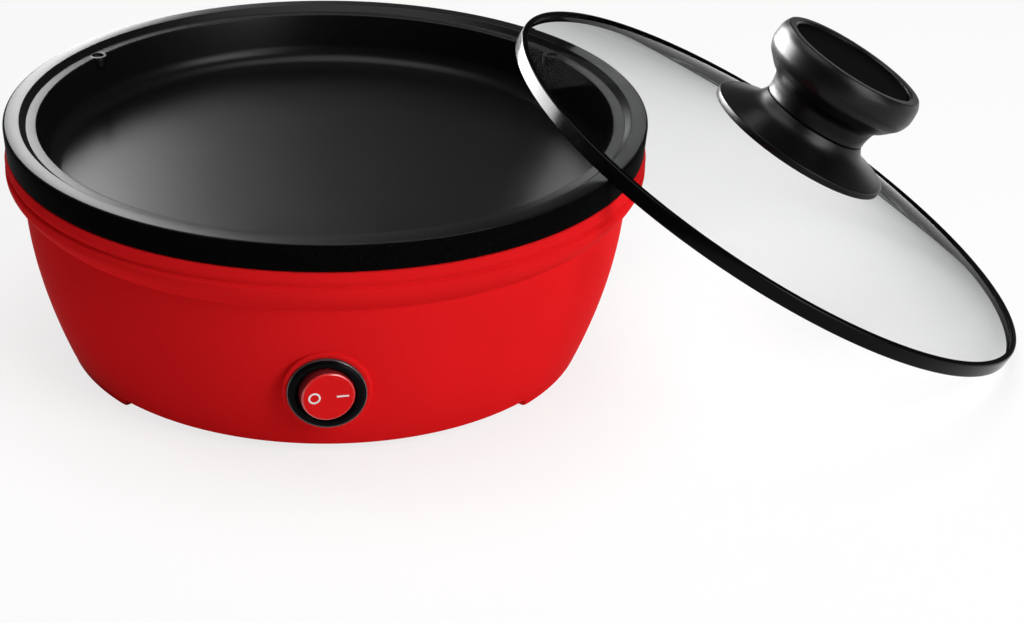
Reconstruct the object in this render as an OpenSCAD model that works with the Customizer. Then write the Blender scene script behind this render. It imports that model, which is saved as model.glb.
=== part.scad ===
// Round electric skillet with a rocker switch in front and a loose glass lid.
// The lid leans beside the pan: its band lies on the pan's rim and on the table.
// Millimetres, +Z up, origin on the table under the middle of the pan.
// The switch faces -Y, the cord inlet faces +Y and the lid leans on the +X side.

/* [Pan] */
// Outer radius of the rim
rim_r = 105; // [100:0.5:112]
// Height of the rim's top above the table
rim_z = 80; // [78:0.5:90]
// Width of the flat top of the rim
rim_flat = 5.4; // [4.5:0.1:6.5]
// Height of the dark band round the rim
rim_band_h = 9; // [8:0.25:11]
// How far the rim band draws in towards its lower edge
rim_draft = 0.6; // [0:0.1:1]
// Wall of the rim band
rim_band_t = 2.6; // [2:0.1:3]
// Round on the rim's outer top edge
rim_round = 0.8; // [0.4:0.1:1.2]
// Drop from the rim's top to the lid's ledge
ledge_drop = 1.8; // [1.4:0.1:2.4]
// Run of the sloped step between the rim and the ledge
step_run = 2; // [1.4:0.1:2.6]
// Width of the ledge that the seated lid rests on
ledge_w = 3.6; // [3:0.1:4.5]
// Depth from the ledge to the cooking floor
pan_depth = 16.7; // [14:0.1:19]
// Round between the wall and the cooking floor
pan_round = 6.5; // [5:0.5:9]
// Lean of the pan's wall from upright, degrees
wall_lean = 6; // [3:0.5:9]
// Thickness of the cast pan
pan_t = 3.2; // [2.8:0.1:4]
// Radius of a locating boss on the ledge
dimple_boss_r = 3.4; // [3:0.1:4]
// Radius of the dimple in a locating boss
dimple_r = 2.1; // [1.6:0.1:2.6]

/* [Base housing] */
// Thickness of the moulded wall
wall_t = 2.6; // [2.2:0.1:3.2]
// Height of the feet below the housing's lower edge
foot_h = 1.9; // [1.5:0.1:3]
// Outer radius of the housing at its lower edge
foot_r = 86.5; // [85:0.5:89]
// How far the upper ring stands out over the bowl below it
ring_out = 6.2; // [4:0.1:8]
// Height of the corner between the bowl and the upper ring
shoulder_z = 54.5; // [52:0.5:57]
// Height of the ring's upright part below the groove
ring_flat_h = 1.8; // [1:0.1:2.5]
// Depth of the groove round the ring
groove_d = 0.4; // [0.2:0.1:0.8]
// Arc covered by one foot, degrees
foot_span = 28; // [20:1:40]
// Width of a foot's ground face
foot_w = 4.6; // [3:0.1:6]
// Width of the lip that turns in at the lower edge
lip_w = 8.1; // [7:0.1:9]
// How far the screw posts stand inside the lip
post_inset = 8.4; // [8:0.1:10]
// Radius of a screw post
post_r = 4.6; // [4:0.1:6]
// Height of a screw post
post_h = 12; // [10:0.5:14]
// Thickness of the rib behind a post
rib_t = 3; // [2:0.2:4]

/* [Bottom cover] */
// Gap between the cover and the housing's lip round it
cover_gap = 0.4; // [0.3:0.1:1]
// Thickness of the cover
cover_t = 1.6; // [1.2:0.1:2]
// How far the cover lies above the housing's lower edge
cover_inset = 0.8; // [0.6:0.1:1.2]
// Radius of the cup for the tie nut
cup_r = 13; // [12:0.5:15]
// Height of the cup's top above the cover
cup_h = 8; // [8:0.5:10]
// Number of vent slots
vent_n = 10; // [6:1:14]
// Length of a vent slot
vent_l = 20; // [14:1:24]
// Width of a vent slot
vent_w = 3; // [2:0.5:4]

/* [Heater] */
// Diameter of the heating tube
tube_d = 6.5; // [6:0.1:7]
// Radius of the heating ring
ring_r = 56; // [55:0.5:59]
// Angle between the tube's two ends, degrees
tube_gap = 28; // [26:1:34]
// Height of the reflector above the table
reflector_z = 36; // [34:0.5:38]
// Radius of the reflector's flat
reflector_r = 74; // [72:0.5:77]
// Height of the reflector's upturned edge
reflector_edge = 7; // [5:0.5:9]
// Thickness of the reflector sheet
sheet_t = 0.8; // [0.6:0.1:1.2]
// Diameter of the tie stud
stud_d = 6; // [5:0.5:6]
// Length of the central boss below the pan
boss_l = 9; // [7:0.5:10]
// Diameter of the screws below the pan
screw_d = 3; // [2.5:0.1:3.2]
// Length of the screws below the pan
screw_l = 7; // [6:0.5:7.5]
// Diameter of the thermostat
thermostat_d = 15; // [13:0.5:16]

/* [Wiring] */
// Diameter of an internal lead
lead_d = 2.6; // [2:0.1:3]
// Bore of the cord bushing
cord_d = 7.6; // [6.5:0.1:8]
// Height of the cord bushing above the table
cord_z = 22; // [20:0.5:24]

/* [Switch] */
// Diameter of the bezel
bezel_d = 24.2; // [23.6:0.1:25]
// Diameter of the bezel's opening
bezel_open_d = 17.8; // [17.6:0.1:18]
// How far the bezel stands proud of its pad
bezel_h = 1.8; // [1.4:0.1:2.4]
// Diameter of the switch's barrel
barrel_d = 20.4; // [20:0.1:21]
// Depth of the switch's barrel behind the bezel
barrel_l = 14; // [13.5:0.5:16]
// Radius of the rocker's round flank
rocker_r = 8.6; // [8.3:0.05:8.65]
// Height of the rocker's face above its pivot
rocker_h = 3; // [2.6:0.1:3.4]
// Turn of the rocker either side of its middle, degrees
rocker_turn = 10; // [8:0.5:12]
// Height of the switch above the table
switch_z = 28; // [27:0.25:30]
// Downward lean of the switch's face, degrees
switch_lean = 3.2; // [0:0.2:5]
// How far the switch's pad stands out of the wall above it
pad_out = 0.4; // [0.2:0.1:1.5]

/* [Lid] */
// Play between the seated lid's band and the step round the ledge
lid_play = 0.2; // [0.2:0.1:1]
// Height of the band
lid_band_h = 4.9; // [4.5:0.1:5.5]
// Thickness of the band's sheet
lid_band_t = 0.9; // [0.7:0.1:1]
// Width of the band's lip over the glass
lid_lip = 3; // [2.4:0.1:3.6]
// Width of the band's lip under the glass
low_lip = 1.5; // [1.3:0.1:1.8]
// Thickness of the glass
glass_t = 3.5; // [3:0.1:4]
// Rise of the glass from its edge to its middle
glass_rise = 20.2; // [19:0.2:21]
// Roundness of the dome's crown
crown = 6; // [4:0.5:10]
// Lean of the lid from level, degrees
lid_tilt = 29; // [28.6:0.1:29.4]
// Turn of the lean direction about the vertical, degrees
lid_azimuth = -1.5; // [-3:0.1:0]
// Gap between the leaning lid's band and the rim below it
lean_gap = 0.4; // [0.3:0.1:0.8]
// Place of the lid's middle behind the pan's middle
lid_y = 7; // [5:0.1:8]

/* [Lid knob] */
// Radius of the knob's skirt
skirt_r = 31.7; // [30:0.1:33]
// Height of the skirt's edge
skirt_edge = 2.3; // [1.8:0.1:2.8]
// Height of the skirt up to the joint with the grip
skirt_h = 10.4; // [10:0.1:11.5]
// Radius of the neck
neck_r = 18.3; // [17:0.1:19.5]
// Radius of the grip
grip_r = 26.6; // [26:0.1:28]
// Height of the grip
grip_h = 22.7; // [21:0.1:24]
// Radius of the disc in the grip's top
disc_r = 21.8; // [20:0.1:22.2]
// Thickness of the disc
disc_t = 1.2; // [1:0.1:1.6]
// Depth of the recess that the disc lies in
recess_d = 2.2; // [1.8:0.1:3]
// Diameter of the knob's screw
knob_screw_d = 5; // [4:0.5:5]

/* [Fits] */
// Gap between pieces that lie together
fit = 0.1; // [0.05:0.01:0.15]
// Gap all round a screw, pin or stud in its hole
shaft_fit = 0.06; // [0.03:0.01:0.1]
// Gap between the dark band and the red ring below it
band_gap = 0.25; // [0.15:0.05:0.5]
// Gap between a moving piece and its neighbours
run_gap = 0.3; // [0.25:0.05:0.4]

/* [Hidden] */
$fn = 96;
eps = 0.01;

// Pan levels and radii
ledge_r = rim_r - rim_flat - step_run;
pan_in_r = ledge_r - ledge_w;
ledge_z = rim_z - ledge_drop;
floor_z = ledge_z - pan_depth;
under_z = floor_z - pan_t;
wall_l = (pan_depth - pan_round * (1 - sin(wall_lean))) / cos(wall_lean);
floor_r = pan_in_r - wall_l * sin(wall_lean) - pan_round * cos(wall_lean);
band_in_r = rim_r - rim_draft - rim_band_t;
dimple_azimuths = [33.5, 146.5];

// Housing levels
waist_r = rim_r - ring_out;
ring_top_z = rim_z - rim_band_h - band_gap;
groove_drop = 4.8;
groove_z = ring_top_z - groove_drop;
groove_h = 1.2;
ring_curve_h = groove_z - groove_h - ring_flat_h - shoulder_z;
spigot_gap = 0.4;
spigot_r = band_in_r - spigot_gap;
spigot_t = 2.4;
spigot_z = rim_z - pan_t - fit;
wall_bow = 1.8;
ring_bow = 1.6;
corner_r = 1.8;
lip_t = 2.6;
lip_r = foot_r - lip_w;
foot_azimuths = [90, 210, 330];
foot_edge = 0.4;
foot_root = 1.3;
post_azimuths = [60, 180, 300];
post_place_r = lip_r - post_inset;

// Cover levels
cover_r = lip_r - cover_gap;
cover_z = foot_h + cover_inset;
cover_top = cover_z + cover_t;
cup_top = cover_top + cup_h;
cover_screw_d = 3.5;
cover_screw_l = 10;
cover_head_r = 3.3;
sheet_play = 0.18;
vent_r = 36;

// Heater levels and places
tube_z = under_z - fit - tube_d / 2;
tube_end_az = 180;
tube_end_z = reflector_z - 10;
clamp_t = 1.2;
clamp_top = tube_z - tube_d / 2 - fit;
clamp_w = 12;
clamp_screw_r = 45;
clamp_end = 6;
clamp_l = ring_r + tube_d - clamp_screw_r + clamp_end;
clamp_azimuths = [30, 150, 270];
boss_r = 4;
centre_boss_r = 7;
low_boss_l = 5.7;
low_boss_z = under_z - low_boss_l;
tip_room = 0.4;
bead_t = 1.6;
bead_flange = 3.4;
bead_h = 2;
flange_t = 0.8;
thermostat_xy = [-26, 0];
ear_pitch = 12;
tab_drop = 5.2;
tab_z = low_boss_z - flange_t - tab_drop;
thermostat_tail = 2.4;
tab_w = 6.3;
tab_t = 0.8;
tab_l = 9.5;
tab_root = 1;
fuse_d = 5;
fuse_l = 16;
fuse_y = 33;
clip_w = 7;
clip_t = 1;
clip_screw_dx = 11;
clip_top = tab_z + fuse_d / 2 + fit + clip_t;
lead_hole_r = 3.7;
lead_reach = 14.5;
earth_xy = [26, 6];
lug_t = 1;
lug_l = 9;
lug_w = 3;
stud_boss_bottom = under_z - boss_l;
stud_end = 1;
stud_bottom = cover_z + stud_end;
stud_top = under_z - stud_end;
spacer_t = 3;
nut_h = 5;
nut_r = 5.6;
washer_t = 1.2;
washer_r = 7.5;
head_h = 2;
head_r = 2.9;

// Wiring places
sleeve_l = 12;
sleeve_wall = 1;
sleeve_gap = 1;
sleeve_end_y = thermostat_d / 2 + sleeve_gap + sleeve_l;
switch_hole = [thermostat_xy[0], thermostat_xy[1] - sleeve_end_y - lead_reach];
fuse_hole = [thermostat_xy[0] - fuse_l, fuse_y + 0.78 * fuse_l];
earth_hole = [earth_xy[0] + lug_w, earth_xy[1] + 2.2 * lug_l];
hole_z = reflector_z + sheet_t / 2;
tube_low = tube_end_z - sleeve_gap - sleeve_l - fit;
thermostat_front = [thermostat_xy[0], thermostat_xy[1] - sleeve_end_y - fit, tab_z];
fuse_back = [thermostat_xy[0], fuse_y + fuse_l / 2 + fit, tab_z];
lug_end = [earth_xy[0], earth_xy[1] + lug_l + fit, low_boss_z - lug_t / 2];
lead_swing = 19;
lead_sides = 8;
block_inset = 28;
block_y = cover_r - block_inset;
block_size = [38, 14, 12];
block_boss_h = 3;
block_z = cover_top + block_boss_h;
way_pitch = 9;
way_d = 4;
way_up = 5;
way_z = block_z + way_up;
way_reach = 4;
way_tail = 10;
block_head_up = 9;
block_head_z = block_z + block_head_up;
block_screw_l = 11;
bushing_r = 6.2;
bushing_flange_r = 9;
bushing_flange_t = 2.4;
bushing_nut_t = 4;
bushing_nut_w = 4;
bushing_end = 2;
cord_pad_r = 11;
cord_pad_out = 0.2;
cord_pad_in = 0.2;
cord_y = wall_r(cord_z + cord_pad_r) + cord_pad_out;
cord_pad_l = cord_y - wall_r(cord_z - bushing_r - bushing_nut_w) + wall_t + cord_pad_in;
bushing_l = cord_pad_l + bushing_nut_t + bushing_end;

// Switch places, in the switch's own frame: X right, Y up the wall, Z outwards
switch_x = 0.6;
switch_back = barrel_l + sleeve_gap + sleeve_l + fit;
pad_edge = 1.6;
pad_r = bezel_d / 2 + pad_edge;
pad_l = 10;
hole_room = 12;
switch_y = wall_r(switch_z + pad_r) + pad_out;
barrel_wall_r = bezel_open_d / 2;
back_t = 2;
pin_r = 1;
pin_end_r = 9.9;
stem_r = 2.6;
stem_l = 2.2;
rocker_under = 3;
plunger_r = 1.2;
blade_z = -9.4;
blade_l = 13;
blade_w = 4;
blade_t = 0.5;
blade_turn = 7;
pivot_r = 0.6;
terminal_pitch = 4.8;
terminal_l = 9;
lamp_r = 1.4;
lamp_x = terminal_pitch;
lamp_z = blade_z + blade_t / 2 + lamp_x * tan(blade_turn) + lamp_r + run_gap;
lamp_l = 2 * (sqrt(pow(barrel_wall_r, 2) - pow(lamp_x + lamp_r, 2)) - fit);
contact_top = blade_z - blade_t / 2 - (terminal_pitch + tab_t) * tan(blade_turn) - run_gap;
pivot_top = blade_z - pivot_r - run_gap;
plunger_tip = -(blade_z + pivot_r + run_gap);
plunger_top = -1;
bezel_edge = [0.6, 1.4, 0.7, 0.5];

// Lid levels, in the lid's own frame: Z along its axis from the band's lower edge
lid_r = ledge_r - lid_play;
glass_r = lid_r - lid_band_t - fit;
glass_edge_z = lid_band_h - lid_band_t;
glass_low_z = lid_band_t + fit;
glass_slope = sqrt(pow(glass_rise + crown, 2) - pow(crown, 2)) / glass_r;
glass_top_z = glass_edge_z + glass_rise;
glass_hole_play = 1.5;
glass_hole_r = knob_screw_d / 2 + glass_hole_play;
band_edge = 0.4;
lip_rise = 0.3;
skirt_base_z = glass_at(skirt_r) + fit;
grip_z = skirt_base_z + skirt_h + fit;
grip_top_z = grip_z + grip_h;
lid_z = lid_r * sin(lid_tilt);
lid_x = lean_x(rim_r, rim_r + lid_r, 16);
soft_washer_r = 9;
soft_washer_t = 1.5;
screw_head_z = glass_at(soft_washer_r, glass_t) - soft_washer_t - 2 * fit;
knob_head_h = 2.6;
shoulder_w = 0.6;
shoulder_h = 0.3;
flare_share = 0.38;
lip_edge = 0.6;
insert_top = grip_z + grip_h * 0.6;
screw_top = grip_z + grip_h * 0.5;

// Colours
red = "#d81e20";
black = "#202020";
coating = "#2b2b2c";
steel = "#b9bcc0";
brass = "#c9a24a";
ceramic = "#e9e4d8";
clear_glass = "#c8d6d4";

// Outer radius of the bowl at height z
function wall_r(z) = foot_r + (waist_r - foot_r)
    * (1 - pow(max(0, 1 - (z - foot_h) / (shoulder_z - foot_h)), wall_bow));

// Outer radius of the ring's curved part at height z
function curve_r(z) = waist_r + ring_out
    * (1 - pow(max(0, 1 - (z - shoulder_z) / ring_curve_h), ring_bow));

// Height of the glass's upper surface, and of a shell t below it, at radius r
function glass_at(r, t = 0) = glass_top_z + crown - t
    - sqrt(pow(crown, 2) + pow(glass_slope * r, 2));

// Point of the leaning band's underside with the lid's middle at x: its edge as radius and height,
// a degrees round
function band_point(x, edge, a) = let (v = edge[0] * sin(a),
    u = edge[0] * cos(a) * cos(lid_tilt) + edge[1] * sin(lid_tilt))
    [x + u * cos(lid_azimuth) - v * sin(lid_azimuth), lid_y + u * sin(lid_azimuth) + v * cos(lid_azimuth),
    lid_z - edge[0] * cos(a) * sin(lid_tilt) + edge[1] * cos(lid_tilt)];

// Least height of that underside above the rim, and the place where it comes to the gap asked for
function lean_clear(x) = min([for (s = [-1, 1], a = [100:0.1:160],
    edge = [[lid_r - low_lip, lip_rise], [lid_r - low_lip / 2, lip_rise / 2], [lid_r, 0]])
    let (p = band_point(x, edge, s * a)) if (norm([p[0], p[1]]) < rim_r) p[2] - rim_z]);
function lean_x(low, high, n) = let (x = (low + high) / 2) n == 0 ? high
    : lean_clear(x) < lean_gap ? lean_x(x, high, n - 1) : lean_x(low, x, n - 1);

// Points of an arc in the section plane
function arc(c, r, a0, a1, n) = [for (i = [0:n]) let (a = a0 + (a1 - a0) * i / n)
    [c[0] + r * cos(a), c[1] + r * sin(a)]];

// Height and radius steps along the bowl and the ring
function bowl_points(inset, n) = [for (i = [0:n])
    let (z = foot_h + corner_r + (shoulder_z - foot_h - corner_r) * i / n)
    [wall_r(z) - inset, z]];
function ring_points(inset, n) = [for (i = [1:n]) let (z = shoulder_z + ring_curve_h * i / n)
    [curve_r(z) - inset, z]];
function flip(points) = [for (i = [len(points) - 1:-1:0]) points[i]];

// Places the children in the switch's frame
module at_switch() {
    translate([switch_x, -switch_y, switch_z]) rotate([90 + switch_lean, 0, 0]) children();
}

// Places the children in the leaning lid's frame
module at_lid() {
    translate([lid_x, lid_y, lid_z]) rotate([0, 0, lid_azimuth]) rotate([0, lid_tilt, 0]) children();
}

// Places the children in the cord inlet's frame, Z outwards
module at_cord() {
    translate([0, cord_y, cord_z]) rotate([-90, 0, 0]) children();
}

// Places the children at a radius and azimuth
module polar(r, az) {
    rotate([0, 0, az]) translate([r, 0, 0]) children();
}

// Upright cylinder between two heights
module rod(r, z0, z1) {
    translate([0, 0, z0]) cylinder(r = r, h = z1 - z0);
}

// Ring between two heights
module ring(r_in, r_out, z0, z1) {
    difference() {
        rod(r_out, z0, z1);
        rod(r_in, z0 - eps, z1 + eps);
    }
}

// Six-sided nut with a bore
module hex_nut(r, bore_r, z0, z1) {
    difference() {
        translate([0, 0, z0]) cylinder(r = r, h = z1 - z0, $fn = 6);
        rod(bore_r, z0 - eps, z1 + eps);
    }
}

// Pan-head screw pointing up, the underside of its head at height z
module screw_up(d, l, hr, hh, z) {
    union() {
        rod(hr, z - hh, z);
        rod(d / 2, z - eps, z + l);
    }
}

// Push-on sleeve round a flat tab: along Z from 0 to its length
module sleeve() {
    difference() {
        linear_extrude(sleeve_l)
            square([tab_w + 2 * fit + 2 * sleeve_wall, tab_t + 2 * fit + 2 * sleeve_wall], center = true);
        translate([0, 0, -eps]) linear_extrude(sleeve_l - sleeve_wall)
            square([tab_w + 2 * fit, tab_t + 2 * fit], center = true);
    }
}

// Places of the screws below the pan: the three clamps, the thermostat, the fuse clip, the earth lug
module at_clamps() {
    for (az = clamp_azimuths) polar(clamp_screw_r, az) children();
}
module at_ears() {
    for (s = [-1, 1]) translate([thermostat_xy[0] + s * ear_pitch, thermostat_xy[1], 0]) children();
}
module at_clip() {
    translate([thermostat_xy[0] + clip_screw_dx, fuse_y, 0]) children();
}
module at_earth() {
    translate([earth_xy[0], earth_xy[1], 0]) children();
}

// Places of the tube's two vertical ends
module at_tube_ends() {
    for (s = [-1, 1]) polar(ring_r, tube_end_az + s * tube_gap / 2) children();
}

// Red moulded shell with its feet, screw posts and the pads of the switch and the cord
module base_housing() {
    outer = concat(
        [[lip_r, foot_h], [foot_r - corner_r, foot_h]],
        arc([foot_r - corner_r, foot_h + corner_r], corner_r, -60, -20, 2),
        bowl_points(0, 14),
        ring_points(0, 8),
        [[rim_r, groove_z - groove_h], [rim_r - groove_d, groove_z], [rim_r, groove_z + groove_h],
        [rim_r - rim_draft, ring_top_z]]);
    inner = concat(
        [[spigot_r, ring_top_z], [spigot_r, spigot_z], [spigot_r - spigot_t, spigot_z],
        [spigot_r - spigot_t, ring_top_z - spigot_t], [rim_r - groove_d - wall_t, groove_z - groove_h]],
        flip(ring_points(wall_t, 8)),
        flip([for (p = bowl_points(wall_t, 14)) if (p[1] > foot_h + lip_t) p]),
        [[wall_r(foot_h + lip_t) - wall_t, foot_h + lip_t], [lip_r, foot_h + lip_t]]);
    color(red) difference() {
        union() {
            rotate_extrude() polygon(concat(outer, inner));
            for (az = foot_azimuths) rotate([0, 0, az - foot_span / 2]) foot();
            for (az = post_azimuths) post(az);
            at_switch() rod(pad_r, -pad_l, 0);
            at_cord() rod(cord_pad_r, -cord_pad_l, 0);
        }
        for (az = post_azimuths) polar(post_place_r, az)
            rod(cover_screw_d / 2 + shaft_fit, cover_top - eps, cover_z + cover_screw_l + tip_room);
        at_switch() rod(barrel_d / 2 + fit, -pad_l - hole_room, eps);
        at_cord() rod(bushing_r + fit, -cord_pad_l - hole_room, eps);
    }
}

// One foot, a stretch of the lower edge carried down to the table
module foot() {
    top = foot_h + corner_r;
    rotate_extrude(angle = foot_span) polygon([
        [foot_r - corner_r - foot_w, 0], [foot_r - corner_r, 0], [foot_r - foot_edge, foot_h / 2],
        [wall_r(top) - foot_edge, top], [foot_r - corner_r - foot_w, foot_h + foot_root]]);
}

// One screw post and the rib that ties it to the wall
module post(az) {
    z1 = cover_top + post_h;
    polar(post_place_r, az) rod(post_r, cover_top, z1);
    rotate([0, 0, az]) translate([0, rib_t / 2, 0]) rotate([90, 0, 0]) linear_extrude(rib_t) polygon([
        [post_place_r, cover_top], [wall_r(cover_top) - wall_t / 2, cover_top],
        [wall_r(z1) - wall_t / 2, z1], [post_place_r, z1]]);
}

// Dark sheet cover below, with vent slots and a cup for the tie nut
module bottom_cover() {
    color(black) difference() {
        union() {
            rod(cover_r, cover_z, cover_top);
            rod(cup_r, cover_z, cup_top);
            translate([0, block_y, 0]) rod(post_r, cover_z, block_z);
        }
        rod(cup_r - cover_t, cover_z - eps, cup_top - cover_t);
        rod(stud_d / 2 + sheet_play, cover_z, cup_top + eps);
        translate([0, block_y, 0])
            rod(screw_d / 2 + shaft_fit, block_head_z - block_screw_l - tip_room, block_z + eps);
        for (az = post_azimuths) polar(post_place_r, az)
            rod(cover_screw_d / 2 + shaft_fit, cover_z - eps, cover_top + eps);
        for (i = [0:vent_n - 1]) rotate([0, 0, 360 / vent_n * (i + 0.5)])
            translate([vent_r, -vent_w / 2, cover_z - eps]) cube([vent_l, vent_w, cover_t + 2 * eps]);
    }
}

// Three screws that hold the cover to the posts
module cover_screws() {
    color(steel) for (az = post_azimuths) polar(post_place_r, az)
        screw_up(cover_screw_d, cover_screw_l, cover_head_r, head_h, cover_z);
}

// Cast pan: rim with its band, lid ledge, wall, floor and the bosses below it
module pan() {
    centre = [floor_r, floor_z + pan_round];
    section = concat(
        [[0, floor_z]],
        arc(centre, pan_round, -90, -wall_lean, 8),
        [[pan_in_r, ledge_z], [ledge_r, ledge_z], [ledge_r + step_run, rim_z]],
        arc([rim_r - rim_round, rim_z - rim_round], rim_round, 90, 0, 4),
        [[rim_r - rim_draft, rim_z - rim_band_h], [band_in_r, rim_z - rim_band_h],
        [band_in_r, rim_z - pan_t], [ledge_r + step_run / 2, rim_z - pan_t], [ledge_r, ledge_z - pan_t]],
        arc(centre, pan_round + pan_t, -wall_lean, -90, 8),
        [[0, under_z]]);
    color(coating) difference() {
        union() {
            rotate_extrude() polygon(section);
            for (az = dimple_azimuths) polar(pan_in_r + dimple_r / 2, az)
                rod(dimple_boss_r, ledge_z - pan_t, ledge_z);
            at_clamps() rod(boss_r, clamp_top, under_z + eps);
            at_ears() rod(boss_r, low_boss_z, under_z + eps);
            at_earth() rod(boss_r, low_boss_z, under_z + eps);
            at_clip() rod(boss_r, clip_top, under_z + eps);
            rod(centre_boss_r, stud_boss_bottom, under_z + eps);
        }
        for (az = dimple_azimuths) polar(pan_in_r + dimple_r / 2, az)
            rod(dimple_r, ledge_z - ledge_drop / 2, rim_z);
        at_clamps() rod(screw_d / 2 + shaft_fit, clamp_top - eps, clamp_top - clamp_t + screw_l + tip_room);
        at_ears()
            rod(screw_d / 2 + shaft_fit, low_boss_z - eps, low_boss_z - flange_t + screw_l + tip_room);
        at_earth() rod(screw_d / 2 + shaft_fit, low_boss_z - eps, low_boss_z - lug_t + screw_l + tip_room);
        at_clip() rod(screw_d / 2 + shaft_fit, clip_top - eps, clip_top - clip_t + screw_l + tip_room);
        rod(stud_d / 2 + shaft_fit, stud_boss_bottom - eps, stud_top + tip_room);
    }
}

// Stud that ties the pan, the reflector and the cover together
module tie_stud() {
    color(steel) rod(stud_d / 2, stud_bottom, stud_top);
}

// One nut below the reflector and one in the cover's cup
module tie_nuts() {
    color(steel) for (z = [reflector_z, cup_top - cover_t])
        hex_nut(nut_r, stud_d / 2 + shaft_fit, z - washer_t - nut_h, z - washer_t);
}

// Washers between the nuts and the sheets
module tie_washers() {
    color(steel) for (z = [reflector_z, cup_top - cover_t])
        ring(stud_d / 2 + shaft_fit, washer_r, z - washer_t, z);
}

// Tube that keeps the reflector at its distance from the pan
module reflector_spacer() {
    color(steel)
        ring(stud_d / 2 + shaft_fit, stud_d / 2 + spacer_t, reflector_z + sheet_t, stud_boss_bottom);
}

// Bright dish between the heater and the wiring
module heat_reflector() {
    z1 = reflector_z + sheet_t;
    color(steel) difference() {
        rotate_extrude() polygon([
            [stud_d / 2 + sheet_play, reflector_z], [reflector_r, reflector_z],
            [reflector_r + reflector_edge, reflector_z + reflector_edge],
            [reflector_r + reflector_edge - sheet_t, z1 + reflector_edge],
            [reflector_r - sheet_t / 2, z1], [stud_d / 2 + sheet_play, z1]]);
        at_tube_ends() rod(tube_d / 2 + bead_t + fit, reflector_z - eps, z1 + eps);
        for (p = [switch_hole, fuse_hole, earth_hole]) translate(p)
            rod(lead_hole_r, reflector_z - eps, z1 + eps);
    }
}

// Sheathed heating tube: an open ring whose two ends turn down
module heating_element() {
    sweep = 360 - tube_gap;
    color(steel) union() {
        rotate([0, 0, tube_end_az + tube_gap / 2]) rotate_extrude(angle = sweep)
            translate([ring_r, tube_z]) circle(d = tube_d);
        at_tube_ends() translate([0, 0, tube_z]) sphere(d = tube_d);
        at_tube_ends() rod(tube_d / 2, tube_end_z, tube_z);
        at_tube_ends() translate([0, 0, tube_end_z - tab_l / 2])
            cube([tab_t, tab_w, tab_l + eps], center = true);
    }
}

// Ceramic beads that lead the tube's ends through the reflector
module terminal_beads() {
    color(ceramic) at_tube_ends() union() {
        ring(tube_d / 2 + fit, tube_d / 2 + bead_t, reflector_z - bead_h, reflector_z + sheet_t + bead_h);
        ring(tube_d / 2 + fit, tube_d / 2 + bead_flange, reflector_z + sheet_t,
            reflector_z + sheet_t + bead_h);
    }
}

// Three straps that hold the heating ring up against the pan
module element_clamps() {
    color(steel) for (az = clamp_azimuths) rotate([0, 0, az]) difference() {
        translate([clamp_screw_r - clamp_end, -clamp_w / 2, clamp_top - clamp_t])
            cube([clamp_l, clamp_w, clamp_t]);
        translate([clamp_screw_r, 0, 0])
            rod(screw_d / 2 + shaft_fit, clamp_top - clamp_t - eps, clamp_top + eps);
    }
}

// Screws of the clamps, the thermostat, the fuse clip and the earth lug
module pan_screws() {
    color(steel) {
        at_clamps() screw_up(screw_d, screw_l, head_r, head_h, clamp_top - clamp_t);
        at_ears() screw_up(screw_d, screw_l, head_r, head_h, low_boss_z - flange_t);
        at_earth() screw_up(screw_d, screw_l, head_r, head_h, low_boss_z - lug_t);
        at_clip() screw_up(screw_d, screw_l, head_r, head_h, clip_top - clip_t);
    }
}

// Snap-disc thermostat with its flange ears and two flat tabs
module thermostat() {
    body_bottom = tab_z - tab_t - thermostat_tail;
    color(steel) translate([thermostat_xy[0], thermostat_xy[1], 0]) difference() {
        union() {
            rod(thermostat_d / 2, body_bottom, under_z - fit);
            translate([0, 0, low_boss_z - flange_t / 2])
                cube([2 * (ear_pitch + boss_r), thermostat_d / 2, flange_t], center = true);
            for (s = [-1, 1]) translate([0, s * (thermostat_d / 2 + tab_l / 2 - tab_root / 2), tab_z])
                cube([tab_w, tab_l + tab_root, tab_t], center = true);
        }
        for (s = [-1, 1]) translate([s * ear_pitch, 0, 0])
            rod(screw_d / 2 + shaft_fit, low_boss_z - flange_t - eps, low_boss_z + eps);
    }
}

// Thermal fuse in its ceramic tube, in line with the thermostat's rear tab
module thermal_fuse() {
    color(ceramic) translate([thermostat_xy[0], fuse_y, tab_z]) rotate([90, 0, 0]) union() {
        rod(fuse_d / 2, -fuse_l / 2, fuse_l / 2);
        rod(lead_d / 2, fuse_l / 2 - eps, fuse_y - sleeve_end_y - fit);
    }
}

// Clip round the fuse, screwed to the pan
module fuse_clip() {
    r = fuse_d / 2 + fit;
    color(steel) translate([thermostat_xy[0], fuse_y, 0]) difference() {
        translate([0, clip_w / 2, tab_z]) rotate([90, 0, 0]) linear_extrude(clip_w) difference() {
            union() {
                circle(r = r + clip_t);
                translate([0, r]) square([clip_screw_dx + boss_r, clip_t]);
            }
            circle(r = r);
        }
        translate([clip_screw_dx, 0, 0])
            rod(screw_d / 2 + shaft_fit, clip_top - clip_t - eps, clip_top + eps);
    }
}

// Four-way terminal block on the cover
module terminal_block() {
    color(ceramic) translate([0, block_y, block_z]) difference() {
        translate([-block_size[0] / 2, -block_size[1] / 2, 0]) cube(block_size);
        for (i = [-1.5:1.5]) translate([i * way_pitch, 0, way_z - block_z]) rotate([90, 0, 0]) {
            translate([0, 0, -block_size[1]]) cylinder(d = way_d, h = 2 * block_size[1]);
        }
        for (i = [-1.5:1.5]) translate([i * way_pitch, 0, way_z - block_z])
            cylinder(d = way_d, h = block_size[2]);
        rod(screw_d / 2 + shaft_fit, -eps, block_size[2]);
        rod(head_r + fit, block_head_z - block_z, block_size[2] + eps);
    }
}

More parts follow.
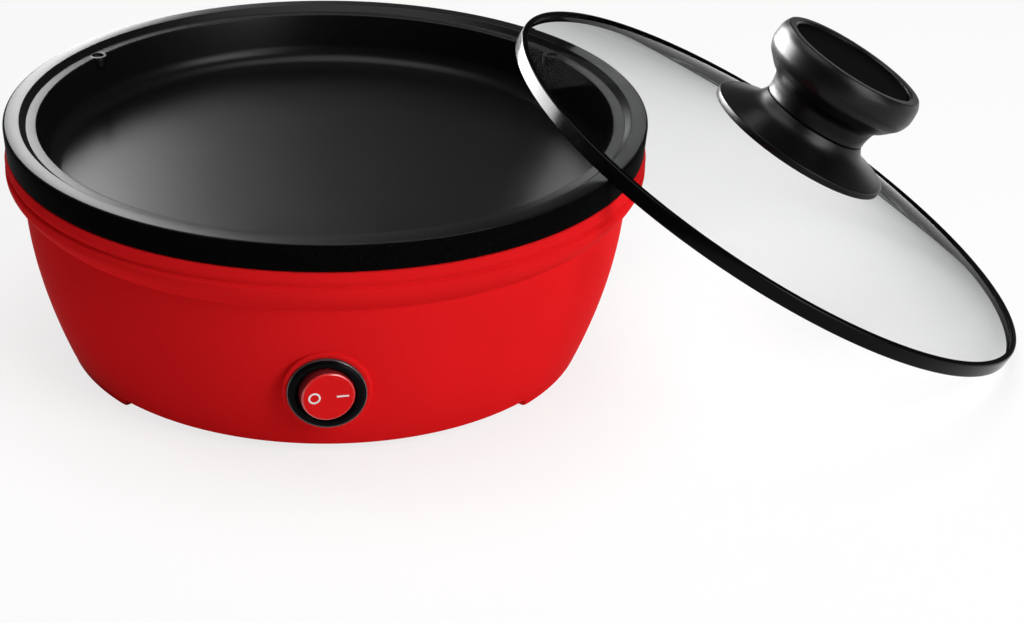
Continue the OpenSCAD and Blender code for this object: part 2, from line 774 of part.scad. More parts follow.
// Screw that holds the block, its head down in the block
module block_screw() {
    color(steel) translate([0, block_y, 0]) union() {
        rod(head_r, block_head_z, block_head_z + head_h);
        rod(screw_d / 2, block_head_z - block_screw_l, block_head_z + eps);
    }
}

// Bushing that the supply cord comes in through
module cord_bushing() {
    color(black) at_cord() difference() {
        union() {
            rod(bushing_flange_r, 0, bushing_flange_t);
            rod(bushing_r, -bushing_l, eps);
        }
        rod(cord_d / 2, -bushing_l - eps, bushing_flange_t + eps);
    }
}

// Nut that holds the bushing from inside
module bushing_nut() {
    color(black) at_cord()
        hex_nut(bushing_r + bushing_nut_w, bushing_r + shaft_fit, -cord_pad_l - bushing_nut_t, -cord_pad_l);
}

// Push-on sleeves on the tabs of the switch, the thermostat and the heating tube
module push_on_sleeves() {
    color(ceramic) {
        for (i = [-1:1]) at_switch() translate([i * terminal_pitch, 0, -barrel_l - sleeve_gap])
            mirror([0, 0, 1]) rotate([0, 0, 90]) sleeve();
        translate([thermostat_xy[0], thermostat_d / 2 + sleeve_gap, tab_z]) rotate([-90, 0, 0]) sleeve();
        translate([thermostat_xy[0], -thermostat_d / 2 - sleeve_gap, tab_z]) rotate([90, 0, 0]) sleeve();
        at_tube_ends() translate([0, 0, tube_end_z - sleeve_gap])
            mirror([0, 0, 1]) rotate([0, 0, 90]) sleeve();
    }
}

// Ring lug that joins the earth lead to the pan
module earth_lug() {
    color(brass) translate([earth_xy[0], earth_xy[1], low_boss_z - lug_t]) difference() {
        union() {
            cylinder(r = boss_r, h = lug_t);
            translate([-lug_w / 2, 0, 0]) cube([lug_w, lug_l, lug_t]);
        }
        translate([0, 0, -eps]) cylinder(r = screw_d / 2 + shaft_fit, h = lug_t + 2 * eps);
    }
}

// Round lead along a smooth curve through the given points
function smooth(p, i, t) = let (n = len(p) - 1, a = p[max(0, i - 1)], b = p[i], c = p[i + 1],
    d = p[min(n, i + 2)]) 0.5 * (2 * b + (c - a) * t + (2 * a - 5 * b + 4 * c - d) * t * t
    + (3 * b - a - 3 * c + d) * t * t * t);
function route(p, steps) = concat([for (i = [0:len(p) - 2], k = [0:steps - 1]) smooth(p, i, k / steps)],
    [p[len(p) - 1]]);
function unit(v) = v / norm(v);
module lead(points, steps = 2) {
    path = route(points, steps);
    n = len(path);
    side = unit(cross(path[n - 1] - path[0], [0.3, 0.2, 1]));
    rings = [for (i = [0:n - 1])
        let (along = i == 0 ? unit(points[1] - points[0])
            : i == n - 1 ? unit(points[len(points) - 1] - points[len(points) - 2])
            : unit(path[i + 1] - path[i - 1]),
            v = unit(cross(along, side)), u = cross(v, along))
        for (k = [0:lead_sides - 1]) let (a = 360 * k / lead_sides)
            path[i] + lead_d / 2 * (cos(a) * u + sin(a) * v)];
    walls = [for (i = [0:n - 2], k = [0:lead_sides - 1])
        let (j = (k + 1) % lead_sides, a = i * lead_sides, b = a + lead_sides)
        each [[a + k, b + k, a + j], [a + j, b + k, b + j]]];
    first = [for (k = [1:lead_sides - 2]) [0, k, k + 1]];
    last = [for (k = [1:lead_sides - 2]) let (a = (n - 1) * lead_sides) [a, a + k + 1, a + k]];
    polyhedron(points = rings, faces = concat(walls, first, last));
}

// Where the leads meet the terminals
function way(i) = [(i - 1.5) * way_pitch, block_y - block_size[1] / 2 + way_reach, way_z];
function way_out(i, share = 1) = way(i) - [0, share * way_tail, 0];
function switch_tab(i, extra = 0) = [switch_x + i * terminal_pitch,
    -switch_y + (switch_back + extra) * cos(switch_lean),
    switch_z + (switch_back + extra) * sin(switch_lean)];
function tube_end(s, drop = 0) = [ring_r * cos(tube_end_az + s * tube_gap / 2),
    ring_r * sin(tube_end_az + s * tube_gap / 2), tube_low - drop];

// Point of a lead beside the cup: shares of the swing, of the block's distance and of the way up
// to the switch
function beside(side, along, up) = [side * lead_swing, along * block_y, way_z + up * (switch_z - way_z)];

// From the block to the switch
module lead_live() {
    color("#5a2a1c") lead([way(1), way_out(1), beside(-0.75, 0.28, 0.17), beside(-1, -0.2, 0.37),
        beside(-0.75, -0.76, 0.69), switch_tab(0, 0.75 * sleeve_l), switch_tab(0)]);
}

// From the switch to the thermostat
module lead_switched() {
    hole = [switch_hole[0], switch_hole[1], hole_z];
    color("#202020") lead([thermostat_front, thermostat_front - lead_d * [0, 2, 0], hole,
        hole + lead_d * [2, -3.5, -3.2], switch_tab(-1, 0.8 * sleeve_l), switch_tab(-1)]);
}

// From the thermal fuse to the heating tube
module lead_fuse() {
    hole = [fuse_hole[0], fuse_hole[1], hole_z];
    low = tube_end(-1, 2 * lead_d);
    color("#d8d4c8") lead([fuse_back, fuse_back + lead_d * [0, 1.2, 0], hole,
        [low[0], hole[1] - 3.6 * lead_d, (hole[2] + low[2]) / 2], low, tube_end(-1)]);
}

// From the heating tube back to the block
module lead_neutral() {
    low = tube_end(1, 1.6 * lead_d);
    color("#3a5f8f") lead([tube_end(1), low, [-0.75 * ring_r, 0.2 * block_y, low[2]],
        [-0.46 * ring_r, 0.56 * block_y, (low[2] + way_z) / 2], way_out(0), way(0)]);
}

// From the block to the lamp's terminal on the switch
module lead_lamp() {
    color("#3a5f8f") lead([way(2), way_out(2, 0.5), way_out(2), beside(0.84, 0.24, 0.23),
        beside(1, -0.24, 0.37), beside(0.74, -0.8, 0.75), switch_tab(1, 0.75 * sleeve_l), switch_tab(1)]);
}

// From the block to the earth lug under the pan
module lead_earth() {
    hole = [earth_hole[0], earth_hole[1], hole_z];
    color("#5f8f3a") lead([way(3), way_out(3, 0.5), way_out(3), hole + lead_d * [-0.8, 0.4, -4.8], hole,
        lug_end + lead_d * [0, 2, 0], lug_end]);
}

// Round switch: bezel, barrel and back
module switch_body() {
    r = barrel_wall_r;
    color(black) at_switch() difference() {
        rotate_extrude() polygon([[0, -barrel_l], [barrel_d / 2, -barrel_l], [barrel_d / 2, 0],
            [bezel_d / 2, 0], [bezel_d / 2, bezel_h * 0.45], [bezel_d / 2 - bezel_edge[0], bezel_h * 0.85],
            [bezel_d / 2 - bezel_edge[1], bezel_h], [r + bezel_edge[2], bezel_h],
            [r, bezel_h - bezel_edge[3]], [r, back_t - barrel_l], [0, back_t - barrel_l]]);
        rotate([90, 0, 0]) rod(pin_r + shaft_fit, -pin_end_r - fit, pin_end_r + fit);
        for (i = [-1:1]) translate([i * terminal_pitch, 0, -barrel_l])
            cube([tab_t + 2 * shaft_fit, tab_w + 2 * shaft_fit, 3 * back_t], center = true);
    }
}

// Three flat terminals: the contact, the pivot of the blade and the lamp's tail
module switch_terminals() {
    z0 = -barrel_l - terminal_l;
    tops = [contact_top, pivot_top, contact_top];
    color(brass) at_switch() {
        for (i = [-1:1]) translate([i * terminal_pitch, 0, (z0 + tops[i + 1]) / 2])
            cube([tab_t, tab_w, tops[i + 1] - z0], center = true);
    }
}

// Neon lamp below the rocker
module neon_lamp() {
    color("#e08a4a") at_switch() translate([lamp_x, 0, lamp_z])
        rotate([90, 0, 0]) rod(lamp_r, -lamp_l / 2, lamp_l / 2);
}

// Round red rocker on its two pins, its right half pressed in
module switch_rocker() {
    color(red) at_switch() rotate([0, rocker_turn, 0]) difference() {
        union() {
            intersection() {
                sphere(r = rocker_r);
                translate([0, 0, -rocker_under]) cylinder(r = rocker_r, h = rocker_under + rocker_h);
            }
            rotate([90, 0, 0]) rod(pin_r, -pin_end_r, pin_end_r);
            rod(stem_r, -rocker_under - stem_l, -rocker_under + eps);
        }
        rod(plunger_r + shaft_fit, -rocker_under - stem_l - eps, plunger_top + tip_room);
    }
}

// Sprung plunger in the rocker's stem that tips the blade over
module rocker_plunger() {
    color(brass) at_switch() rotate([0, rocker_turn, 0]) union() {
        rod(plunger_r, -plunger_tip + plunger_r, plunger_top);
        translate([0, 0, -plunger_tip + plunger_r]) sphere(r = plunger_r);
    }
}

// Contact blade with a round pivot that see-saws on the middle terminal
module contact_blade() {
    color(brass) at_switch() translate([0, 0, blade_z]) rotate([0, -blade_turn, 0]) union() {
        cube([blade_l, blade_w, blade_t], center = true);
        rotate([90, 0, 0]) rod(pivot_r, -blade_w / 2, blade_w / 2);
    }
}

// Domed glass with a hole for the knob's screw
module lid_glass() {
    low_r = sqrt(pow(glass_top_z + crown - glass_t - glass_low_z, 2) - pow(crown, 2)) / glass_slope;
    n = 18;
    top = [for (i = [0:n]) let (r = glass_hole_r + (glass_r - glass_hole_r) * i / n) [r, glass_at(r)]];
    under = [for (i = [n:-1:0]) let (r = glass_hole_r + (low_r - glass_hole_r) * i / n)
        [r, glass_at(r, glass_t)]];
    color(clear_glass, 0.4) at_lid() rotate_extrude() polygon(concat(top, [[glass_r, glass_low_z]], under));
}

// Rolled band round the glass with a lip above and below it
module lid_band() {
    in_r = lid_r - lid_lip;
    wall_in_r = lid_r - lid_band_t;
    lip_under = glass_at(in_r) + fit;
    color(black) at_lid() rotate_extrude() polygon([
        [lid_r - low_lip, lip_rise], [lid_r - band_edge, 0], [lid_r, band_edge],
        [lid_r, lid_band_h - band_edge], [lid_r - band_edge, lid_band_h],
        [in_r, lip_under + lid_band_t * 0.8], [in_r, lip_under], [wall_in_r, glass_at(glass_r) + fit],
        [wall_in_r, lid_band_t], [lid_r - low_lip, lid_band_t]]);
}

// Skirt of the knob, shaped to the glass below it
module knob_base() {
    z = skirt_base_z;
    bore = knob_screw_d / 2 + shaft_fit;
    n = 10;
    under = [for (i = [0:n]) let (r = bore + (skirt_r - bore) * i / n) [r, glass_at(r) + fit]];
    slope_r = skirt_r - shoulder_w;
    slope_z = z + skirt_edge + shoulder_h;
    slope_h = skirt_h - skirt_edge - shoulder_h;
    slope = [for (i = [0:n]) let (t = i / n) [slope_r - (slope_r - neck_r) * t,
        slope_z + slope_h * ((1 - flare_share) * pow(t, 1.2) + flare_share * pow(t, 8))]];
    color(black) at_lid() rotate_extrude() polygon(concat(under, [[skirt_r, z + skirt_edge]], slope,
        [[bore, z + skirt_h]]));
}

// Mushroom grip with a recess in its top
module knob_grip() {
    z = grip_z;
    bore = knob_screw_d / 2 + shaft_fit;
    out = grip_r - neck_r;
    flank = [[neck_r + 0.1, 0], [neck_r, 0.08], [neck_r + 0.25, 0.16], [neck_r + 0.13 * out, 0.284],
        [neck_r + 0.42 * out, 0.374], [neck_r + 0.675 * out, 0.47], [neck_r + 0.855 * out, 0.542],
        [grip_r - 0.2, 0.648], [grip_r, 0.733], [grip_r - 0.25, 0.868], [grip_r - 0.75, 0.936],
        [grip_r - 1.5, 0.99], [grip_r - 1.9, 1]];
    color(black) at_lid() rotate_extrude() polygon(concat(
        [[bore, z]], [for (p = flank) [p[0], z + p[1] * grip_h]],
        [[disc_r + fit + lip_edge, z + grip_h], [disc_r + fit, z + grip_h - lip_edge],
        [disc_r + fit, z + grip_h - recess_d], [0, z + grip_h - recess_d],
        [0, insert_top], [bore, insert_top]]));
}

// Fine-textured disc in the grip's top
module knob_disc() {
    z = grip_top_z - recess_d;
    color("#333333") at_lid() rod(disc_r, z, z + disc_t);
}

// Screw from below that holds the knob
module lid_screw() {
    color(steel) at_lid() screw_up(knob_screw_d, screw_top - screw_head_z, knob_screw_d,
        knob_head_h, screw_head_z);
}

// Soft washer between the screw's head and the glass
module lid_washer() {
    color("#4a4a4a") at_lid()
        ring(knob_screw_d / 2 + shaft_fit, soft_washer_r, screw_head_z, screw_head_z + soft_washer_t);
}

base_housing();
bottom_cover();
cover_screws();
pan();
tie_stud();
tie_nuts();
tie_washers();
reflector_spacer();
heat_reflector();
heating_element();
terminal_beads();
element_clamps();
pan_screws();
thermostat();
thermal_fuse();
fuse_clip();
terminal_block();
block_screw();
cord_bushing();
bushing_nut();
push_on_sleeves();
earth_lug();
lead_live();
lead_switched();
lead_fuse();
lead_neutral();
lead_lamp();
lead_earth();
switch_body();
switch_terminals();
neon_lamp();
switch_rocker();
rocker_plunger();
contact_blade();
lid_glass();
lid_band();
knob_base();
knob_grip();
knob_disc();
lid_screw();
lid_washer();
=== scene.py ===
"""Looks of a round electric skillet with a loose glass lid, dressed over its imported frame.

Sizes are written in millimetres and built in metres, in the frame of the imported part: X to the
right, Y to the back, Z up, with the origin on the table under the middle of the pan.
"""
import logging
import math
from dataclasses import dataclass, field
from enum import Enum, IntEnum
from typing import Callable, Iterable, Optional

import bmesh
import bpy
from mathutils import Matrix, Vector

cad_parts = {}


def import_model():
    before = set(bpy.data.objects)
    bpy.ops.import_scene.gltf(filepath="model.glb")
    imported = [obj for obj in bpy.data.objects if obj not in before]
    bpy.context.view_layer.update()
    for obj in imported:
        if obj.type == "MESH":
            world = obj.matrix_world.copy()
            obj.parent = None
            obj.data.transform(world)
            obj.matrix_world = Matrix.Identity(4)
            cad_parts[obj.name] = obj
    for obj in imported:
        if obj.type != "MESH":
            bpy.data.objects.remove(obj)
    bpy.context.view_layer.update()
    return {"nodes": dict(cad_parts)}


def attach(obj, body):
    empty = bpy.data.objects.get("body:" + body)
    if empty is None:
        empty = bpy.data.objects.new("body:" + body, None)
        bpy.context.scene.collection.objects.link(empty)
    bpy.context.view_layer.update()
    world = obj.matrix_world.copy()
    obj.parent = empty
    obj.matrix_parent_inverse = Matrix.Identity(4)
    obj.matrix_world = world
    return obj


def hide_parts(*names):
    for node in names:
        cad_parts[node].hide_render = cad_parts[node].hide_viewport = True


LOG = logging.getLogger("skillet")
MM = 0.001
TINY = 1e-6
FLATTEST = math.radians(88)
LONGEST_REACH = 0.49
LID_CARD = "lid card"
SIDEWAYS = Matrix.Rotation(math.radians(90), 4, "X")
PHOTO_WIDTH = 1024
Point = tuple[float, float]
Rgb = tuple[float, float, float]
Triple = tuple[float, float, float]
Piece = bpy.types.Object
Material = bpy.types.Material
Node = bpy.types.Node
Socket = bpy.types.NodeSocket
Face = bpy.types.MeshPolygon


class Cut(Enum):
    """How one solid is joined to another."""

    UNION = "UNION"
    DIFFERENCE = "DIFFERENCE"


class Body(Enum):
    """The rigid bodies that the pieces built here ride on."""

    BASE = "base"
    ROCKER = "rocker"
    LID = "lid"


class Steps(IntEnum):
    """How many steps make a round stretch."""

    LARGE = 240
    KNOB = 160
    SWITCH = 128
    PAD = 96
    FOOT = 72
    MARK = 48
    DOME = 44
    DIMPLE = 40
    BOSS = 32
    WALL = 30
    HOLE = 24
    FLARE = 20
    BEND = 16
    FLANK = 14
    SHORT = 12
    RING = 10


@dataclass(frozen=True)
class Corner:
    """A corner of a turned section: its radius from the axis, its height and its rounding."""

    r: float
    z: float
    rounding: float = 0.0


def rounded(corners: list[Corner], steps: int = 6) -> list[Point]:
    """Rounds the corners of a closed section.

    Args:
        corners: The section's corners in order.
        steps: How many chords make one rounded corner.

    Returns:
        The section's points, with an arc at each corner that has a rounding.
    """
    points: list[Point] = []
    count = len(corners)
    for i, corner in enumerate(corners):
        here = Vector((corner.r, corner.z))
        back = Vector((corners[i - 1].r, corners[i - 1].z)) - here
        ahead = Vector((corners[(i + 1) % count].r, corners[(i + 1) % count].z)) - here
        if corner.rounding <= 0 or min(back.length, ahead.length) < TINY:
            points.append((corner.r, corner.z))
            continue
        b, a = back.normalized(), ahead.normalized()
        half = math.acos(max(-1.0, min(1.0, b.dot(a)))) / 2
        if half > FLATTEST:
            points.append((corner.r, corner.z))
            continue
        reach = min(corner.rounding / math.tan(half), LONGEST_REACH * min(back.length, ahead.length))
        radius = reach * math.tan(half)
        centre = here + (b + a).normalized() * radius / math.sin(half)
        first, last = here + b * reach - centre, here + a * reach - centre
        turn = math.atan2(first.x * last.y - first.y * last.x, first.dot(last))
        start = math.atan2(first.y, first.x)
        for k in range(steps + 1):
            angle = start + turn * k / steps
            points.append((centre.x + radius * math.cos(angle), centre.y + radius * math.sin(angle)))
    return points


def flowing(points: list[Point], steps: int = 5) -> list[Point]:
    """Runs a smooth curve through the points of a section.

    Args:
        points: Points that the curve passes through, in order.
        steps: Chords between two neighbouring points.

    Returns:
        The points along the curve, ends included.
    """
    curve: list[Point] = []
    last = len(points) - 1
    for i in range(last):
        a, b = Vector(points[max(0, i - 1)]), Vector(points[i])
        c, d = Vector(points[i + 1]), Vector(points[min(last, i + 2)])
        for k in range(steps):
            t = k / steps
            p = 0.5 * (2 * b + (c - a) * t + (2 * a - 5 * b + 4 * c - d) * t ** 2
                       + (3 * b - a - 3 * c + d) * t ** 3)
            curve.append((p.x, p.y))
    curve.append(points[last])
    return curve


def arc(centre: Point, radius: float, start: float, end: float, steps: int) -> list[Point]:
    """Points along an arc.

    Args:
        centre: Middle of the arc.
        radius: Its radius.
        start: First angle in degrees.
        end: Last angle in degrees.
        steps: Number of chords.

    Returns:
        The points, both ends included.
    """
    angles = (math.radians(start + (end - start) * k / steps) for k in range(steps + 1))
    return [(centre[0] + radius * math.cos(a), centre[1] + radius * math.sin(a)) for a in angles]


def plain(points: Iterable[Point]) -> list[Corner]:
    """Turns bare points into corners with no rounding."""
    return [Corner(r, z) for r, z in points]


def peg(radius: float, low: float, high: float) -> list[Point]:
    """Section of a plain round peg or hole between two heights."""
    return [(0.0, low), (radius, low), (radius, high), (0.0, high)]


def linked(name: str, shape: bmesh.types.BMesh) -> Piece:
    """Puts a worked shape into the scene as an object, and frees it.

    Args:
        name: Name of the object and of its mesh.
        shape: The shape.

    Returns:
        The object.
    """
    mesh = bpy.data.meshes.new(name)
    shape.to_mesh(mesh)
    shape.free()
    piece = bpy.data.objects.new(name, mesh)
    bpy.context.scene.collection.objects.link(piece)
    return piece


def turned(name: str, section: list[Point], segments: int, place: Optional[Matrix] = None) -> Piece:
    """Turns a closed section about the Z axis into a solid.

    Args:
        name: Name of the new object.
        section: Closed section as radius and height in millimetres.
        segments: Number of steps round the axis.
        place: Where the solid's own frame lies, or None for the part's frame.

    Returns:
        The new object.
    """
    shape = bmesh.new()
    rings: list[list[bmesh.types.BMVert]] = []
    for r, z in section:
        if r < TINY:
            rings.append([shape.verts.new((0.0, 0.0, z * MM))])
            continue
        angles = (2 * math.pi * k / segments for k in range(segments))
        rings.append([shape.verts.new((r * MM * math.cos(a), r * MM * math.sin(a), z * MM)) for a in angles])
    for i, ring in enumerate(rings):
        other = rings[(i + 1) % len(rings)]
        if len(ring) == 1 and len(other) == 1:
            continue
        for k in range(segments):
            j = (k + 1) % segments
            if len(ring) == 1:
                shape.faces.new((ring[0], other[k], other[j]))
            elif len(other) == 1:
                shape.faces.new((ring[k], other[0], ring[j]))
            else:
                shape.faces.new((ring[k], other[k], other[j], ring[j]))
    bmesh.ops.recalc_face_normals(shape, faces=shape.faces)
    if place is not None:
        bmesh.ops.transform(shape, matrix=place, verts=shape.verts)
    return linked(name, shape)


def merged(piece: Piece, tool: Piece, how: Cut) -> None:
    """Joins a tool solid to a piece, or cuts it out, and removes the tool.

    Args:
        piece: The piece that is changed.
        tool: The solid that is joined or cut out.
        how: Whether it is joined or cut out.
    """
    step = piece.modifiers.new("join", "BOOLEAN")
    step.operation = how.value
    step.object = tool
    step.solver = "EXACT"
    bpy.context.view_layer.update()
    graph = bpy.context.evaluated_depsgraph_get()
    result = bpy.data.meshes.new_from_object(piece.evaluated_get(graph))
    piece.modifiers.clear()
    old = piece.data
    piece.data = result
    result.name = old.name
    bpy.data.meshes.remove(old)
    bpy.data.objects.remove(tool)


def smoothed(piece: Piece, angle: float = 32.0) -> None:
    """Shades a piece smoothly, with sharp creases.

    Args:
        piece: The piece.
        angle: Faces that meet at more than this, in degrees, meet in a crease.
    """
    for face in piece.data.polygons:
        face.use_smooth = True
    piece.data.set_sharp_from_angle(angle=math.radians(angle))


class Graph:
    """A material's node tree, with short ways to add and join nodes."""

    def __init__(self, name: str) -> None:
        """Starts an empty material.

        Args:
            name: The material's name.
        """
        self.material = bpy.data.materials.new(name)
        self.material.use_nodes = True
        self.tree = self.material.node_tree
        self.tree.nodes.clear()
        self.output = self.tree.nodes.new("ShaderNodeOutputMaterial")

    def add(self, kind: str, **values: object) -> Node:
        """Adds a node.

        Args:
            kind: The node's type.
            values: Its properties, and its inputs by name with spaces as underscores.

        Returns:
            The node.
        """
        node = self.tree.nodes.new(kind)
        for key, value in values.items():
            if hasattr(node, key):
                setattr(node, key, value)
                continue
            socket = node.inputs[key.replace("_", " ")]
            if isinstance(value, Socket):
                self.tree.links.new(value, socket)
            else:
                socket.default_value = value
        return node

    def join(self, source: Socket, target: Socket) -> None:
        """Links two sockets."""
        self.tree.links.new(source, target)

    def place(self) -> Socket:
        """Coordinates of the surface in its object's frame, in metres."""
        return self.add("ShaderNodeTexCoord").outputs["Object"]

    def noise(self, size: float, detail: float = 2.0, where: Optional[Socket] = None) -> Socket:
        """Cloudy noise.

        Args:
            size: Triple of its grains in millimetres.
            detail: How many finer layers it has.
            where: Coordinates, or None for the object's own.

        Returns:
            The noise's value.
        """
        node = self.add("ShaderNodeTexNoise", Vector=where or self.place(),
                        Scale=1.0 / (size * MM), Detail=detail)
        return node.outputs["Fac"]

    def spread(self, value: Socket, low: float, high: float,
               start: float = 0.3, end: float = 0.7) -> Socket:
        """Maps a value's usual range onto another.

        Args:
            value: The value.
            low: Result at start.
            high: Result at end.
            start: Lower end of the value's range.
            end: Upper end of the value's range.

        Returns:
            The mapped value.
        """
        node = self.add("ShaderNodeMapRange", Value=value, From_Min=start, From_Max=end,
                        To_Min=low, To_Max=high)
        return node.outputs["Result"]

    def shaded(self, colour: Rgb, factor: Socket) -> Socket:
        """A colour made lighter and darker.

        Args:
            colour: The colour.
            factor: What it is multiplied by.

        Returns:
            The changed colour.
        """
        node = self.add("ShaderNodeVectorMath", operation="SCALE", Scale=factor)
        node.inputs[0].default_value = colour
        return node.outputs["Vector"]

    def blended(self, factor: Socket, first: Rgb, second: Rgb) -> Socket:
        """A colour between two others."""
        node = self.add("ShaderNodeMix", data_type="RGBA", Factor=factor, A=(*first, 1.0), B=(*second, 1.0))
        return next(s for s in node.outputs if s.type == "RGBA")

    def combined(self, operation: str, first: Socket, second: Socket) -> Socket:
        """Works two values into one.

        Args:
            operation: The arithmetic.
            first: One value.
            second: The other value.

        Returns:
            The result.
        """
        node = self.add("ShaderNodeMath", operation=operation)
        self.join(first, node.inputs[0])
        self.join(second, node.inputs[1])
        return node.outputs["Value"]

    def show_mix(self, factor: Socket, first: Socket, second: Socket) -> None:
        """Shows a mix of two shaders.

        Args:
            factor: Share of the second shader.
            first: One shader.
            second: The other shader.
        """
        node = self.add("ShaderNodeMixShader", Fac=factor)
        self.join(first, node.inputs[1])
        self.join(second, node.inputs[2])
        self.join(node.outputs["Shader"], self.output.inputs["Surface"])

    def relief(self, height: Socket, depth: float, strength: float = 1.0) -> Socket:
        """A bumped normal.

        Args:
            height: Height of the relief from 0 to 1.
            depth: Depth in millimetres.
            strength: Share of the relief that shows.

        Returns:
            The normal.
        """
        node = self.add("ShaderNodeBump", Height=height, Strength=strength, Distance=depth * MM)
        return node.outputs["Normal"]

    def surface(self, **values: object) -> Node:
        """Adds the main shader and shows it.

        Args:
            values: Its inputs by name with spaces as underscores.

        Returns:
            The shader.
        """
        shader = self.add("ShaderNodeBsdfPrincipled", **values)
        self.join(shader.outputs["BSDF"], self.output.inputs["Surface"])
        return shader


@dataclass(frozen=True)
class Plastic:
    """Moulded plastic with faint clouds of colour and an orange-peel surface."""

    name: str
    colour: Rgb
    roughness: float
    cloud: float = 0.04
    grain: float = 0.5
    depth: float = 0.01
    index: float = 1.45
    glow: float = 0.0
    glow_reach: Rgb = (0.6, 0.08, 0.06)
    glow_scale: float = 0.004
    cloud_size: float = 45.0
    uneven: float = 0.03

    def make(self) -> Material:
        """Builds the material.

        Returns:
            The finish's material.
        """
        g = Graph(self.name)
        clouds = g.noise(self.cloud_size, 3.0)
        fine = g.noise(self.grain)
        tone = g.spread(clouds, 1.0 - self.cloud, 1.0 + self.cloud)
        g.surface(Base_Color=g.shaded(self.colour, tone),
                  Roughness=g.spread(fine, self.roughness - self.uneven, self.roughness + self.uneven),
                  Normal=g.relief(fine, self.depth), IOR=self.index, Subsurface_Weight=self.glow,
                  Subsurface_Radius=self.glow_reach, Subsurface_Scale=self.glow_scale)
        return g.material


@dataclass(frozen=True)
class Coating:
    """Dark non-stick coat with fine flecks over a cast surface."""

    name: str
    colour: Rgb
    fleck: Rgb
    roughness: float
    index: float = 1.4
    fleck_size: float = 0.45
    fleck_range: Point = (0.62, 0.72)
    cloud_size: float = 30.0
    uneven: float = 0.012
    grain: float = 0.35
    depth: float = 0.012

    def make(self) -> Material:
        """Builds the material.

        Returns:
            The finish's material.
        """
        g = Graph(self.name)
        flecks = g.spread(g.noise(self.fleck_size, 1.0), 0.0, 1.0, *self.fleck_range)
        clouds = g.noise(self.cloud_size, 3.0)
        g.surface(Base_Color=g.blended(flecks, self.colour, self.fleck),
                  Roughness=g.spread(clouds, self.roughness - self.uneven, self.roughness + self.uneven),
                  Normal=g.relief(g.noise(self.grain), self.depth, 0.6), IOR=self.index)
        return g.material


@dataclass(frozen=True)
class Enamel:
    """Hard dark paint baked on sheet metal."""

    name: str
    colour: Rgb
    roughness: float
    index: float = 1.45
    ripple: float = 1.6
    wear: float = 9.0
    depth: float = 0.01

    def make(self) -> Material:
        """Builds the material.

        Returns:
            The finish's material.
        """
        g = Graph(self.name)
        wear = g.noise(self.wear, 4.0)
        g.surface(Base_Color=g.shaded(self.colour, g.spread(wear, 0.85, 1.2)),
                  Roughness=g.spread(wear, self.roughness - 0.04, self.roughness + 0.05),
                  Normal=g.relief(g.noise(self.ripple), self.depth, 0.5), IOR=self.index)
        return g.material


@dataclass(frozen=True)
class ClearGlass:
    """Clear glass that lets lamp light through, deeper in colour where it is thick."""

    name: str
    tint: Rgb
    depth_tint: Rgb
    density: float
    index: float = 1.01
    shine: float = 0.05
    veil: Rgb = (0.8, 0.81, 0.805)
    mark: float = 14.0
    mark_range: Point = (0.45, 0.75)
    mark_blur: float = 0.015
    gloss_blur: float = 0.02
    gloss_index: float = 1.45

    def make(self) -> Material:
        """Builds the material.

        Returns:
            The finish's material.
        """
        g = Graph(self.name)
        blur = g.spread(g.noise(self.mark, 4.0), 0.0, self.mark_blur, *self.mark_range)
        glass = g.add("ShaderNodeBsdfPrincipled", Base_Color=(*self.tint, 1.0), Roughness=blur,
                      IOR=self.index, Transmission_Weight=1.0, Coat_Weight=self.shine,
                      Coat_Roughness=self.gloss_blur, Coat_IOR=self.gloss_index)
        clear = g.add("ShaderNodeBsdfTransparent", Color=(*self.veil, 1.0))
        shadow = g.add("ShaderNodeLightPath").outputs["Is Shadow Ray"]
        g.show_mix(shadow, glass.outputs["BSDF"], clear.outputs["BSDF"])
        body = g.add("ShaderNodeVolumeAbsorption", Color=(*self.depth_tint, 1.0), Density=self.density)
        g.join(body.outputs["Volume"], g.output.inputs["Volume"])
        return g.material


@dataclass(frozen=True)
class BareMetal:
    """Bare metal with fine drawn lines and slight stain."""

    name: str
    colour: Rgb
    roughness: float
    stretch: Triple = (1.0, 1.0, 14.0)
    line: float = 1.2
    stain: float = 7.0

    def make(self) -> Material:
        """Builds the material.

        Returns:
            The finish's material.
        """
        g = Graph(self.name)
        drawn = g.add("ShaderNodeMapping", vector_type="POINT", Vector=g.place(), Scale=self.stretch)
        lines = g.noise(self.line, 3.0, drawn.outputs["Vector"])
        stain = g.noise(self.stain, 3.0)
        g.surface(Base_Color=g.shaded(self.colour, g.spread(stain, 0.86, 1.08)), Metallic=1.0,
                  Roughness=g.spread(lines, self.roughness - 0.07, self.roughness + 0.09),
                  Normal=g.relief(lines, 0.01, 0.4))
        return g.material


@dataclass(frozen=True)
class Ceramic:
    """Unglazed ceramic with a speckled, dry surface."""

    name: str
    colour: Rgb
    speck: float = 0.8
    depth: float = 0.03

    def make(self) -> Material:
        """Builds the material.

        Returns:
            The finish's material.
        """
        g = Graph(self.name)
        specks = g.noise(self.speck, 3.0)
        g.surface(Base_Color=g.shaded(self.colour, g.spread(specks, 0.9, 1.04)),
                  Roughness=g.spread(specks, 0.6, 0.75), Normal=g.relief(specks, self.depth, 0.6))
        return g.material


